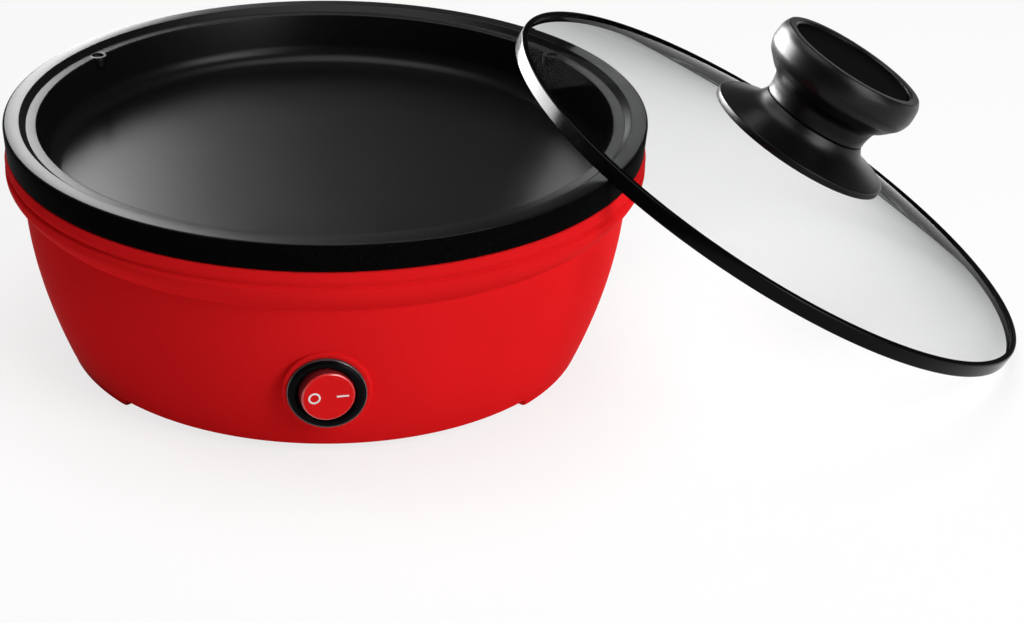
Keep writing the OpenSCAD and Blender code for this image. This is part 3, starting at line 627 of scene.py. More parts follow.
@dataclass(frozen=True)
class Sleeving:
    """Woven sleeving of a lead, with a crossed braid."""

    name: str
    colour: Rgb
    strands: float = 260.0
    wander: float = 1.5
    depth: float = 0.12

    def make(self) -> Material:
        """Builds the material.

        Returns:
            The finish's material.
        """
        g = Graph(self.name)
        across, along = (g.add("ShaderNodeTexWave", wave_type="BANDS", bands_direction=way, Vector=g.place(),
                               Scale=self.strands, Distortion=self.wander) for way in ("DIAGONAL", "X"))
        braid = g.combined("MULTIPLY", across.outputs["Fac"], along.outputs["Fac"])
        g.surface(Base_Color=g.shaded(self.colour, g.spread(braid, 0.75, 1.1, 0.0, 1.0)),
                  Roughness=0.62, Normal=g.relief(braid, self.depth, 0.6))
        return g.material


@dataclass(frozen=True)
class PrintedInk:
    """Pad-printed ink with slightly uneven cover."""

    name: str
    colour: Rgb
    grain: float = 0.3
    depth: float = 0.004

    def make(self) -> Material:
        """Builds the material.

        Returns:
            The finish's material.
        """
        g = Graph(self.name)
        cover = g.noise(self.grain)
        g.surface(Base_Color=g.shaded(self.colour, g.spread(cover, 0.9, 1.0)), Roughness=0.4,
                  Normal=g.relief(cover, self.depth, 0.5))
        return g.material


@dataclass(frozen=True)
class Finishes:
    """All the finishes of the skillet, made once."""

    red: Plastic = Plastic("red moulding", (0.69, 0.0105, 0.0125), roughness=0.45, cloud=0.03,
                           grain=0.9, depth=0.003, index=1.02)
    rocker: Plastic = Plastic("rocker red", (0.66, 0.008, 0.009), roughness=0.25, cloud=0.03, grain=0.7,
                              depth=0.003, index=1.12, glow=0.1)
    # Painted shade: a darker copy of the rocker red, given to the rocker's side faces.
    rocker_side_painted_shade: Plastic = Plastic("rocker side", (0.2, 0.012, 0.016), roughness=0.3, cloud=0.03,
                                   grain=0.7, depth=0.003, index=1.1)
    # Painted highlight: a paler copy of the rocker red for its rounded edge, with a higher index so the lamps
    # also glint there.
    rocker_edge_painted_highlight: Plastic = Plastic("rocker edge", (0.66, 0.02, 0.022), roughness=0.2, cloud=0.03,
                                   grain=0.7, depth=0.003, index=1.75)
    coat: Coating = Coating("pan coat", (0.003, 0.003, 0.0032), fleck=(0.012, 0.012, 0.0125),
                            roughness=0.3, index=1.22)
    skirt: Coating = Coating("rim band coat", (0.002, 0.002, 0.002), fleck=(0.008, 0.008, 0.008),
                             roughness=0.4, index=1.02)
    band: Enamel = Enamel("lid band paint", (0.0012, 0.0012, 0.0013), roughness=0.16, index=1.17)
    lip: Enamel = Enamel("lid lip paint", (0.0012, 0.0012, 0.0013), roughness=0.45, index=1.04)
    dark_sheet: Enamel = Enamel("cover paint", (0.02, 0.02, 0.02), roughness=0.5)
    glass: ClearGlass = ClearGlass("lid glass", tint=(0.99, 0.99, 0.99), depth_tint=(0.1, 0.12, 0.115),
                                   density=70.0)
    knob: Plastic = Plastic("knob black", (0.002, 0.002, 0.0022), roughness=0.33, cloud=0.05, grain=0.5,
                            depth=0.00003, index=1.28)
    knob_top: Coating = Coating("knob disc", (0.002, 0.002, 0.002), fleck=(0.012, 0.012, 0.012),
                                roughness=0.5, index=1.025)
    bezel: Plastic = Plastic("switch black", (0.0022, 0.0022, 0.0028), roughness=0.28, cloud=0.04,
                             grain=0.5, depth=0.003, index=1.1)
    # Painted highlight: a grey copy of the switch black for the bezel's outer edge, with a higher index so
    # the lamps also glint there.
    bezel_edge: Plastic = Plastic("bezel edge", (0.06, 0.05, 0.05), roughness=0.25, cloud=0.04,
                                  grain=0.5, depth=0.003, index=1.6)
    rubber: Plastic = Plastic("soft washer", (0.03, 0.03, 0.03), roughness=0.6, cloud=0.05, grain=0.4,
                              depth=0.02)
    steel: BareMetal = BareMetal("plated steel", (0.58, 0.59, 0.6), roughness=0.32)
    bright: BareMetal = BareMetal("bright sheet", (0.72, 0.72, 0.73), roughness=0.2,
                                  stretch=(6.0, 1.0, 1.0))
    brass: BareMetal = BareMetal("contact brass", (0.66, 0.45, 0.16), roughness=0.3)
    ceramic: Ceramic = Ceramic("white ceramic", (0.72, 0.69, 0.62))
    sleeve: Ceramic = Ceramic("terminal sleeve", (0.6, 0.57, 0.48))
    lamp: ClearGlass = ClearGlass("lamp glass", tint=(0.95, 0.75, 0.55), depth_tint=(0.9, 0.5, 0.2),
                                  density=60.0, index=1.3)
    ink: PrintedInk = PrintedInk("mark ink", (0.82, 0.8, 0.78))


class Paintbox:
    """Makes each finish's material once and hands it out."""

    def __init__(self) -> None:
        """Starts with no material made."""
        self.finishes = Finishes()
        self.made: dict[str, Material] = {}

    def get(self, name: str) -> Material:
        """Hands out the material of a finish.

        Args:
            name: The finish's field.

        Returns:
            The material.
        """
        if name not in self.made:
            self.made[name] = getattr(self.finishes, name).make()
        return self.made[name]

    def dress(self, piece: Piece, name: str) -> None:
        """Gives a whole piece one finish."""
        piece.data.materials.clear()
        piece.data.materials.append(self.get(name))

    def accent(self, piece: Piece, name: str, test: Callable[[Face], bool]) -> None:
        """Gives a second finish to the faces that pass a test.

        Args:
            piece: A piece that has its first finish.
            name: The second finish.
            test: Says whether a face has it.
        """
        piece.data.materials.append(self.get(name))
        index = len(piece.data.materials) - 1
        for face in piece.data.polygons:
            if test(face):
                face.material_index = index

    def lead(self, name: str, colour: Rgb) -> Material:
        """Hands out the sleeving of one lead.

        Args:
            name: The lead.
            colour: Its colour.

        Returns:
            The material.
        """
        if name not in self.made:
            self.made[name] = Sleeving(name.replace("_", " "), colour).make()
        return self.made[name]


@dataclass(frozen=True)
class Pad:
    """A round raised pad on a wall, with a hole through it."""

    name: str
    radius: float
    bore: float
    depth: float
    edge: float = 0.9
    hole_in: float = 22.0
    hole_out: float = 2.0

    def raise_on(self, shell: Piece, place: Matrix) -> None:
        """Raises the pad on a shell and cuts its hole.

        Args:
            shell: The shell.
            place: Frame of the pad, Z outwards.
        """
        section = rounded([Corner(0.0, -self.depth), Corner(self.radius, -self.depth),
                           Corner(self.radius, 0.0, self.edge), Corner(0.0, 0.0)], 6)
        merged(shell, turned(self.name, section, Steps.PAD, place), Cut.UNION)
        hole = peg(self.bore, -self.hole_in, self.hole_out)
        merged(shell, turned(self.name + "_hole", hole, Steps.PAD, place), Cut.DIFFERENCE)


@dataclass
class Housing:
    """Red moulded base: bowl, upper ring, feet, switch pad and cord pad."""

    foot_r: float = 87.2
    foot_h: float = 1.9
    edge_lift: float = 2.1
    edge_run: float = 5.0
    waist_r: float = 99.4
    shoulder_z: float = 56.0
    ring_r: float = 105.0
    ring_curve_h: float = 7.6
    ring_top_z: float = 70.75
    groove_z: float = 65.95
    groove_d: float = 0.95
    wall: float = 2.6
    lip_r: float = 78.4
    lip_t: float = 2.6
    spigot_r: float = 101.4
    spigot_t: float = 2.4
    spigot_z: float = 76.7
    foot_span: float = 26.0
    foot_round: float = 2.6
    foot_w: float = 4.6
    foot_in: float = 1.8
    sole_in: float = 1.6
    heel_in: float = 0.3
    heel_h: float = 1.1
    foot_reach: float = 1.2
    foot_sink: float = 0.35
    foot_seat: float = 1.3
    foot_azimuths: tuple[float, ...] = (90.0, 210.0, 330.0)
    wall_power: float = 1.8
    ring_power: float = 1.6
    bowl_z: float = 5.0
    gap: float = 0.6
    groove_fall: float = 0.8
    groove_rise: float = 1.9
    ring_draft: float = 0.6
    groove_seat: float = 1.2
    cord_y: float = 96.5424
    cord_z: float = 22.0
    switch_pad: Pad = Pad("switch_pad", radius=13.7, bore=10.3, depth=10.0)
    cord_pad: Pad = Pad("cord_pad", radius=11.0, bore=6.3, depth=9.0)

    def wall_r(self, z: float) -> float:
        """Outer radius of the bowl at a height."""
        rise = 1 - max(0.0, 1 - (z - self.foot_h) / (self.shoulder_z - self.foot_h)) ** self.wall_power
        return self.foot_r + (self.waist_r - self.foot_r) * rise

    def curve_r(self, z: float) -> float:
        """Outer radius of the ring's curved part at a height."""
        rise = 1 - max(0.0, 1 - (z - self.shoulder_z) / self.ring_curve_h) ** self.ring_power
        return self.waist_r + (self.ring_r - self.waist_r) * rise

    def section(self) -> list[Point]:
        """Draws the shell's closed section.

        Returns:
            Its points as radius and height.
        """
        bowl_h, curve_h = self.shoulder_z - self.bowl_z - self.gap, self.ring_curve_h - self.gap
        bowl = [self.bowl_z + bowl_h * k / Steps.WALL for k in range(Steps.WALL + 1)]
        curve = [self.shoulder_z + self.gap + curve_h * k / Steps.RING for k in range(Steps.RING + 1)]
        edge = self.foot_h + self.edge_lift
        outer = [Corner(self.lip_r, self.foot_h, 0.5), Corner(self.foot_r - self.edge_run, self.foot_h, 0.8),
                 Corner(self.wall_r(edge), edge, 0.8)]
        outer += plain((self.wall_r(z), z) for z in bowl)
        outer += [Corner(self.waist_r, self.shoulder_z, 0.5)]
        outer += plain((self.curve_r(z), z) for z in curve)
        outer += [Corner(self.ring_r, self.groove_z - self.groove_fall, 0.3),
                  Corner(self.ring_r - self.groove_d, self.groove_z, 0.25),
                  Corner(self.ring_r, self.groove_z + self.groove_rise, 0.5),
                  Corner(self.ring_r - self.ring_draft, self.ring_top_z, 0.6)]
        inner = [Corner(self.spigot_r, self.ring_top_z), Corner(self.spigot_r, self.spigot_z, 0.4),
                 Corner(self.spigot_r - self.spigot_t, self.spigot_z, 0.4),
                 Corner(self.spigot_r - self.spigot_t, self.ring_top_z - self.spigot_t),
                 Corner(self.ring_r - self.groove_d - self.wall, self.groove_z - self.groove_seat)]
        inner += plain((self.curve_r(z) - self.wall, z) for z in reversed(curve))
        inner += plain((self.wall_r(z) - self.wall, z) for z in reversed(bowl))
        inner += [Corner(self.wall_r(self.foot_h + self.lip_t) - self.wall, self.foot_h + self.lip_t, 0.4),
                  Corner(self.lip_r, self.foot_h + self.lip_t, 0.5)]
        return rounded(outer + inner, 4)

    def foot(self, azimuth: float) -> Piece:
        """One foot: a stretch of the lower edge carried down to the table.

        Args:
            azimuth: Where its middle lies, in degrees from +X.

        Returns:
            The foot's solid.
        """
        top = self.foot_h + self.edge_lift + self.foot_reach
        inner = self.foot_r - self.foot_in - self.foot_w
        section = rounded([Corner(inner, 0.0, 0.4), Corner(self.foot_r - self.sole_in, 0.0, 0.7),
                           Corner(self.foot_r - self.heel_in, self.heel_h, 1.0),
                           Corner(self.wall_r(top) - self.foot_sink, top),
                           Corner(inner, self.foot_h + self.foot_seat)], 4)
        shape = bmesh.new()
        rings = []
        for k in range(Steps.FOOT + 1):
            a = math.radians(azimuth - self.foot_span / 2 + self.foot_span * k / Steps.FOOT)
            from_end = math.radians(self.foot_span) * self.foot_r * min(k, Steps.FOOT - k) / Steps.FOOT
            short = max(0.0, self.foot_round - from_end)
            lift = self.foot_round - math.sqrt(self.foot_round ** 2 - short ** 2)
            points = ((r, lift + z * (1 - lift / top)) for r, z in section)
            rings.append([shape.verts.new((r * MM * math.cos(a), r * MM * math.sin(a), z * MM))
                          for r, z in points])
        count = len(section)
        for first, second in zip(rings, rings[1:]):
            for i in range(count):
                j = (i + 1) % count
                shape.faces.new((first[i], first[j], second[j], second[i]))
        shape.faces.new(rings[0])
        shape.faces.new(list(reversed(rings[-1])))
        bmesh.ops.recalc_face_normals(shape, faces=shape.faces)
        return linked("foot", shape)

    def build(self, paint: Paintbox, switch: Matrix) -> Piece:
        """Builds and dresses the housing.

        Args:
            paint: The finishes.
            switch: Frame of the switch's pad, Z outwards.

        Returns:
            The housing.
        """
        shell = turned("housing_shell", self.section(), Steps.LARGE)
        for azimuth in self.foot_azimuths:
            merged(shell, self.foot(azimuth), Cut.UNION)
        self.switch_pad.raise_on(shell, switch)
        cord = Matrix.Translation((0.0, self.cord_y * MM, self.cord_z * MM))
        self.cord_pad.raise_on(shell, cord @ Matrix.Rotation(math.radians(-90), 4, "X"))
        smoothed(shell)
        paint.dress(shell, "red")
        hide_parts("base_housing")
        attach(shell, Body.BASE.value)
        return shell


@dataclass(frozen=True)
class Boss:
    """A screw boss under the pan: its place, its lower end, its radius and its hole."""

    x: float
    y: float
    low: float
    radius: float = 4.0
    bore: float = 1.56
    depth: float = 6.2


@dataclass
class Pan:
    """Cast pan with its rim, lid ledge, round wall and floor."""

    rim_r: float = 105.0
    rim_z: float = 80.0
    band_h: float = 9.0
    draft: float = 0.6
    band_t: float = 2.6
    ledge_r: float = 97.6
    ledge_w: float = 3.6
    ledge_z: float = 78.2
    step_run: float = 2.0
    floor_z: float = 61.5
    wall_round: float = 6.5
    wall_lean: float = 6.0
    thick: float = 3.2
    dimple_azimuths: tuple[float, ...] = (33.5, 146.5)
    dimple_in: float = 1.05
    dimple_r: float = 2.1
    dimple_z: float = 77.3
    dimple_top: float = 82.0
    dimple_wall: float = 1.3
    dimple_low: float = 75.0
    skirt_room: float = 0.1
    skirt_facing: float = 0.5
    boss_sink: float = 1.5
    overcut: float = 1.0
    bosses: tuple[Boss, ...] = (
        Boss(38.97, 22.5, 51.6), Boss(-38.97, 22.5, 51.6), Boss(0.0, -45.0, 51.6), Boss(-38.0, 0.0, 52.6),
        Boss(-14.0, 0.0, 52.6), Boss(26.0, 6.0, 52.6), Boss(-15.0, 33.0, 50.2),
        Boss(0.0, 0.0, 49.3, radius=7.0, bore=3.06, depth=8.4))

    def section(self) -> list[Point]:
        """Draws the pan's closed section.

        Returns:
            Its points as radius and height.
        """
        inner_r = self.ledge_r - self.ledge_w
        lean = math.radians(self.wall_lean)
        depth = self.ledge_z - self.floor_z
        wall = (depth - self.wall_round * (1 - math.sin(lean))) / math.cos(lean)
        floor_r = inner_r - wall * math.sin(lean) - self.wall_round * math.cos(lean)
        middle = (floor_r, self.floor_z + self.wall_round)
        band_r = self.rim_r - self.draft - self.band_t
        corners = [Corner(0.0, self.floor_z)]
        corners += plain(arc(middle, self.wall_round, -90.0, -self.wall_lean, Steps.BEND))
        corners += [Corner(inner_r, self.ledge_z, 0.5), Corner(self.ledge_r, self.ledge_z, 0.4),
                    Corner(self.ledge_r + self.step_run, self.rim_z, 0.5),
                    Corner(self.rim_r, self.rim_z, 0.8),
                    Corner(self.rim_r - self.draft, self.rim_z - self.band_h, 0.35),
                    Corner(band_r, self.rim_z - self.band_h, 0.35), Corner(band_r, self.rim_z - self.thick),
                    Corner(self.ledge_r + self.step_run / 2, self.rim_z - self.thick),
                    Corner(self.ledge_r, self.ledge_z - self.thick)]
        corners += plain(arc(middle, self.wall_round + self.thick, -self.wall_lean, -90.0, Steps.BEND))
        corners += [Corner(0.0, self.floor_z - self.thick)]
        return rounded(corners, 5)

    def build(self, paint: Paintbox) -> Piece:
        """Builds and dresses the pan.

        Args:
            paint: The finishes.

        Returns:
            The pan.
        """
        pan = turned("pan_body", self.section(), Steps.LARGE)
        out = (self.ledge_r - self.ledge_w + self.dimple_in) * MM
        boss_r = self.dimple_r + self.dimple_wall
        boss = rounded([Corner(0.0, self.dimple_low), Corner(boss_r, self.dimple_low),
                        Corner(boss_r, self.ledge_z, 0.5), Corner(0.0, self.ledge_z)], 5)
        dimple = rounded([Corner(0.0, self.dimple_z), Corner(self.dimple_r, self.dimple_z, 0.4),
                          Corner(self.dimple_r, self.dimple_top), Corner(0.0, self.dimple_top)], 5)
        for azimuth in self.dimple_azimuths:
            a = math.radians(azimuth)
            spot = Matrix.Translation((out * math.cos(a), out * math.sin(a), 0.0))
            merged(pan, turned("ledge_boss", boss, Steps.DIMPLE, spot), Cut.UNION)
            merged(pan, turned("ledge_dimple", dimple, Steps.DIMPLE, spot), Cut.DIFFERENCE)
        for screw in self.bosses:
            spot = Matrix.Translation((screw.x * MM, screw.y * MM, 0.0))
            solid = peg(screw.radius, screw.low, self.floor_z - self.boss_sink)
            merged(pan, turned("screw_boss", solid, Steps.BOSS, spot), Cut.UNION)
            hole = peg(screw.bore, screw.low - self.overcut, screw.low + screw.depth)
            merged(pan, turned("screw_hole", hole, Steps.HOLE, spot), Cut.DIFFERENCE)
        smoothed(pan)
        paint.dress(pan, "coat")
        band_r = (self.rim_r - self.draft - self.skirt_room) * MM
        paint.accent(pan, "skirt", lambda face: (face.center.xy.length > band_r
                                                 and abs(face.normal.z) < self.skirt_facing))
        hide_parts("pan")
        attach(pan, Body.BASE.value)
        return pan


@dataclass
class Switch:
    """Round rocker switch: bezel with its barrel, rocker and printed marks."""

    x: float = 0.6
    y: float = -98.2337
    z: float = 28.0
    lean: float = 3.2
    turn: float = 10.0
    bezel_r: float = 12.1
    open_r: float = 8.9
    bezel_h: float = 1.8
    bezel_slope: float = 1.2
    bezel_bevel: float = 0.8
    edge_w: float = 0.5
    edge_facing: float = 0.6
    barrel_r: float = 10.2
    barrel_l: float = 14.0
    back_t: float = 2.0
    flank_r: float = 8.6
    face_h: float = 3.0
    face_edge: float = 0.85
    crease: float = 40.0
    edge_h: float = 1.5
    side_facing: float = 0.35
    face_facing: float = 0.97
    dish: tuple[Point, ...] = ((1.7, 0.03), (3.4, 0.12))
    dish_d: float = 0.22
    under: float = 3.0
    pin_r: float = 1.0
    pin_end: float = 9.9
    pin_fit: float = 0.06
    pin_room: float = 0.1
    slot_size: Triple = (0.92, 6.42, 6.0)
    slot_pitch: float = 4.8
    plunger_r: float = 1.26
    plunger_low: float = -8.0
    plunger_high: float = -0.6
    stem_r: float = 2.6
    stem_l: float = 2.2
    ring_r: float = 1.6
    ring_w: float = 0.55
    bar_l: float = 3.75
    bar_w: float = 0.55
    mark_x: float = 4.3
    mark_sink: float = 0.02
    mark_t: float = 0.38

    def place(self) -> Matrix:
        """Frame of the switch: X right, Y up the wall, Z outwards."""
        spot = Matrix.Translation((self.x * MM, self.y * MM, self.z * MM))
        return spot @ Matrix.Rotation(math.radians(90 + self.lean), 4, "X")

    def rocker_place(self) -> Matrix:
        """Frame of the rocker at rest, with its right half pressed in."""
        return self.place() @ Matrix.Rotation(math.radians(self.turn), 4, "Y")

    def build_body(self, paint: Paintbox) -> Piece:
        """Builds the bezel with its barrel and its three terminal slots.

        Args:
            paint: The finishes.

        Returns:
            The switch's body.
        """
        section = rounded([
            Corner(0.0, -self.barrel_l), Corner(self.barrel_r, -self.barrel_l, 0.5),
            Corner(self.barrel_r, 0.0), Corner(self.bezel_r, 0.0, 0.25),
            Corner(self.bezel_r, self.bezel_h / 2, 0.7),
            Corner(self.bezel_r - self.bezel_slope, self.bezel_h, 0.8),
            Corner(self.open_r + self.bezel_bevel, self.bezel_h, 0.5),
            Corner(self.open_r, self.bezel_h - self.bezel_bevel, 0.4),
            Corner(self.open_r, self.back_t - self.barrel_l), Corner(0.0, self.back_t - self.barrel_l)], 5)
        place = self.place()
        body = turned("switch_bezel", section, Steps.SWITCH, place)
        end = self.pin_end + self.pin_room
        hole = turned("pin_hole", peg(self.pin_r + self.pin_fit, -end, end), Steps.HOLE, place @ SIDEWAYS)
        merged(body, hole, Cut.DIFFERENCE)
        for i in (-1, 0, 1):
            middle = (i * self.slot_pitch, 0.0, -self.barrel_l)
            merged(body, self.block("terminal_slot", self.slot_size, middle, place), Cut.DIFFERENCE)
        smoothed(body)
        paint.dress(body, "bezel")
        back = place.inverted()

        def on_edge(face: Face) -> bool:
            """Says whether a face lies on the bezel's outer edge, which carries the painted highlight.

            Args:
                face: A face of the bezel.

            Returns:
                True if it does.
            """
            spot, way = back @ face.center, back.to_3x3() @ face.normal
            out = spot.xy.length
            outside = out > (self.bezel_r - self.edge_w) * MM
            return outside and way.xy.dot(spot.xy) > self.edge_facing * out

        # The bezel's outward-facing outer edge gets the grey, a painted highlight line.
        paint.accent(body, "bezel_edge", on_edge)
        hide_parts("switch_body")
        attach(body, Body.BASE.value)
        return body

    def block(self, name: str, size: Triple, middle: Triple, place: Matrix) -> Piece:
        """A block in one of the switch's frames.

        Args:
            name: Name of the block.
            size: Its sizes in millimetres.
            middle: Its middle in millimetres.
            place: The frame that it lies in.

        Returns:
            The block.
        """
        shape = bmesh.new()
        bmesh.ops.create_cube(shape, size=MM)
        bmesh.ops.scale(shape, vec=size, verts=shape.verts)
        bmesh.ops.translate(shape, vec=Vector(middle) * MM, verts=shape.verts)
        bmesh.ops.transform(shape, matrix=place, verts=shape.verts)
        return linked(name, shape)

    def build_rocker(self, paint: Paintbox) -> Piece:
        """Builds the rocker with its pins and stem.

        Args:
            paint: The finishes.

        Returns:
            The rocker.
        """
        low = math.degrees(math.asin(-self.under / self.flank_r))
        high = math.degrees(math.asin((self.face_h - self.edge_h) / self.flank_r))
        face_r = math.sqrt(self.flank_r ** 2 - self.face_h ** 2)
        end = -self.under - self.stem_l
        corners = plain([(0.0, end), (self.stem_r, end), (self.stem_r, -self.under)])
        corners += plain(arc((0.0, 0.0), self.flank_r, low, high, Steps.FLANK))
        corners += [Corner(face_r, self.face_h, self.face_edge)]
        corners += plain((face_r - inwards, self.face_h - depth) for inwards, depth in self.dish)
        corners += [Corner(0.0, self.face_h - self.dish_d)]
        place = self.rocker_place()
        rocker = turned("rocker_cap", rounded(corners, 8), Steps.SWITCH, place)
        pin = peg(self.pin_r, -self.pin_end, self.pin_end)
        merged(rocker, turned("rocker_pin", pin, Steps.HOLE, place @ SIDEWAYS), Cut.UNION)
        bore = peg(self.plunger_r, self.plunger_low, self.plunger_high)
        merged(rocker, turned("plunger_bore", bore, Steps.HOLE, place), Cut.DIFFERENCE)
        smoothed(rocker, self.crease)
        paint.dress(rocker, "rocker")
        back = place.inverted()

        def outward(face: Face) -> float:
            """How far a face looks out of the switch, with 0 below the rocker's edge."""
            below = (back @ face.center).z < (self.face_h - self.edge_h) * MM
            return 0.0 if below else (back.to_3x3() @ face.normal).z

        # The rocker's side faces get the darker red, a painted shade.
        paint.accent(rocker, "rocker_side_painted_shade", lambda face: outward(face) < self.side_facing)
        # The rounded edge of the rocker's face gets the paler red, a painted highlight.
        paint.accent(rocker, "rocker_edge_painted_highlight", lambda face: self.side_facing <= outward(face) < self.face_facing)
        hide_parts("switch_rocker")
        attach(rocker, Body.ROCKER.value)
        return rocker

    def build_marks(self, paint: Paintbox) -> list[Piece]:
        """Prints the ring for off and the bar for on.

        Args:
            paint: The finishes.

        Returns:
            The two marks.
        """
        top = self.face_h - self.mark_sink
        low = top - self.mark_t
        outer, inner = self.ring_r + self.ring_w / 2, self.ring_r - self.ring_w / 2
        ring = turned("mark_off", [(inner, low), (outer, low), (outer, top), (inner, top)], Steps.MARK,
                      self.rocker_place() @ Matrix.Translation((-self.mark_x * MM, 0.0, 0.0)))
        bar = self.block("mark_on", (self.bar_l, self.bar_w, top - low),
                         (self.mark_x, 0.0, (top + low) / 2), self.rocker_place())
        for mark in (ring, bar):
            smoothed(mark)
            paint.dress(mark, "ink")
            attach(mark, Body.ROCKER.value)
        return [ring, bar]


@dataclass
class Lid:
    """Leaning glass lid with its band and knob."""

    x: float = 147.612
    y: float = 7.0
    tilt: float = 29.0
    azimuth: float = -1.5
    lid_r: float = 97.4
    band_h: float = 4.9
    band_t: float = 0.9
    lip: float = 2.0
    low_lip: float = 1.5
    fit: float = 0.1
    glass_t: float = 3.5
    glass_rise: float = 20.2
    crown: float = 6.0
    hole_r: float = 4.0
    skirt_r: float = 31.7
    skirt_edge: float = 2.3
    skirt_h: float = 10.4
    shoulder_w: float = 0.6
    shoulder_h: float = 0.3
    flare: float = 0.38
    slow_power: float = 1.2
    fast_power: int = 8
    seam: float = 0.3
    neck_r: float = 18.3
    grip_r: float = 26.6
    grip_h: float = 22.7
    lip_edge: float = 0.6
    disc_r: float = 21.8
    disc_t: float = 1.2
    recess: float = 2.2
    disc_rim: float = 3.0
    top_in: float = 1.9
    bore_r: float = 2.56
    bore_share: float = 0.6
    hem_in: float = 0.2
    hem_low: float = 0.3
    hem_h: float = 0.4
    lip_drop: float = 0.1
    lip_share: float = 0.8
    inward_facing: float = 0.3
    crease: float = 25.0

    def place(self) -> Matrix:
        """Works out where the lid leans.

        Returns:
            Frame of the lid, with Z along its axis from the band's lower edge.
        """
        height = self.lid_r * math.sin(math.radians(self.tilt))
        spot = Matrix.Translation((self.x * MM, self.y * MM, height * MM))
        return (spot @ Matrix.Rotation(math.radians(self.azimuth), 4, "Z")
                @ Matrix.Rotation(math.radians(self.tilt), 4, "Y"))

    def glass_r(self) -> float:
        """Radius of the glass."""
        return self.lid_r - self.band_t - self.fit

    def dome(self, r: float, depth: float = 0.0) -> float:
        """Height of the glass's upper surface, or of a shell below it, at a radius."""
        top = self.band_h - self.band_t + self.glass_rise
        return top + self.crown - depth - math.hypot(self.crown, self.slope() * r)

    def slope(self) -> float:
        """Fall of the glass for each step outwards, away from its crown."""
        return math.sqrt((self.glass_rise + self.crown) ** 2 - self.crown ** 2) / self.glass_r()

    def finish(self, piece: Piece, paint: Paintbox, finish: str, slot: str, node: str) -> Piece:
        """Smooths, dresses and hangs one of the lid's pieces.

        Args:
            piece: The piece.
            paint: The finishes.
            finish: Name of its finish.
            slot: Not used.
            node: The node that it stands for.

        Returns:
            The piece.
        """
        smoothed(piece, self.crease)
        paint.dress(piece, finish)
        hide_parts(node)
        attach(piece, Body.LID.value)
        return piece

    def build_glass(self, paint: Paintbox) -> Piece:
        """Builds the domed glass.

        Args:
            paint: The finishes.

        Returns:
            The glass.
        """
        edge = self.glass_r()
        low = self.band_t + self.fit
        reach = self.band_h - self.band_t + self.glass_rise + self.crown - self.glass_t - low
        low_r = math.sqrt(reach ** 2 - self.crown ** 2) / self.slope()
        top = [self.hole_r + (edge - self.hole_r) * k / Steps.DOME for k in range(Steps.DOME)]
        under = [low_r - (low_r - self.hole_r) * k / Steps.DOME for k in range(1, Steps.DOME + 1)]
        section = plain((r, self.dome(r)) for r in top)
        section += [Corner(edge, self.dome(edge), 0.5), Corner(edge, low, 0.4), Corner(low_r, low, 0.3)]
        section += plain((r, self.dome(r, self.glass_t)) for r in under)
        glass = turned("glass_dome", rounded(section, 4), Steps.LARGE, self.place())
        return self.finish(glass, paint, "glass", "lid_glass", "lid_glass")

    def build_band(self, paint: Paintbox) -> Piece:
        """Builds the rolled band round the glass.

        Args:
            paint: The finishes.

        Returns:
            The band.
        """
        inner, low = self.lid_r - self.lip, self.lid_r - self.low_lip
        wall = self.lid_r - self.band_t
        lip = self.dome(inner) + self.fit
        section = rounded([
            Corner(low, self.hem_low, 0.2), Corner(self.lid_r - self.hem_in, 0.0, 0.3),
            Corner(self.lid_r, self.hem_h, 0.5), Corner(self.lid_r, self.band_h - self.lip_drop, 0.6),
            Corner(inner, lip + self.band_t * self.lip_share, 0.25), Corner(inner, lip, 0.2),
            Corner(wall, self.dome(self.glass_r()) + self.fit), Corner(wall, self.band_t),
            Corner(low, self.band_t, 0.2)], 5)
        band = turned("glass_band", section, Steps.LARGE, self.place())
        self.finish(band, paint, "band", "lid_band", "lid_band")
        back = self.place().inverted()

        def inward(face: Face) -> bool:
            """Whether a face looks inwards, up or down rather than outwards."""
            way = (back.to_3x3() @ face.normal).xy
            return way.dot((back @ face.center).xy.normalized()) < self.inward_facing

        paint.accent(band, "lip", inward)
        return band

    def skirt_z(self) -> float:
        """Height of the skirt's lower edge."""
        return self.dome(self.skirt_r) + self.fit

    def build_skirt(self, paint: Paintbox) -> Piece:
        """Builds the knob's wide skirt.

        Args:
            paint: The finishes.

        Returns:
            The skirt.
        """
        z = self.skirt_z()
        bore = self.bore_r
        under = [bore + (self.skirt_r - bore) * k / Steps.SHORT for k in range(Steps.SHORT)]
        corners = plain((r, self.dome(r) + self.fit) for r in under)
        corners += [Corner(self.skirt_r, z, 0.2), Corner(self.skirt_r, z + self.skirt_edge, 0.25)]
        start, foot = self.skirt_r - self.shoulder_w, z + self.skirt_edge + self.shoulder_h
        rise = self.skirt_h - self.skirt_edge - self.shoulder_h
        for k in range(Steps.FLARE + 1):
            t = k / Steps.FLARE
            flare = (1 - self.flare) * t ** self.slow_power + self.flare * t ** self.fast_power
            corners.append(Corner(start - (start - self.neck_r) * t, foot + rise * flare))
        corners[-1] = Corner(self.neck_r, z + self.skirt_h, self.seam)
        corners.append(Corner(bore, z + self.skirt_h))
        skirt = turned("knob_skirt", rounded(corners, 4), Steps.KNOB, self.place())
        return self.finish(skirt, paint, "knob", "knob_plastic", "knob_base")

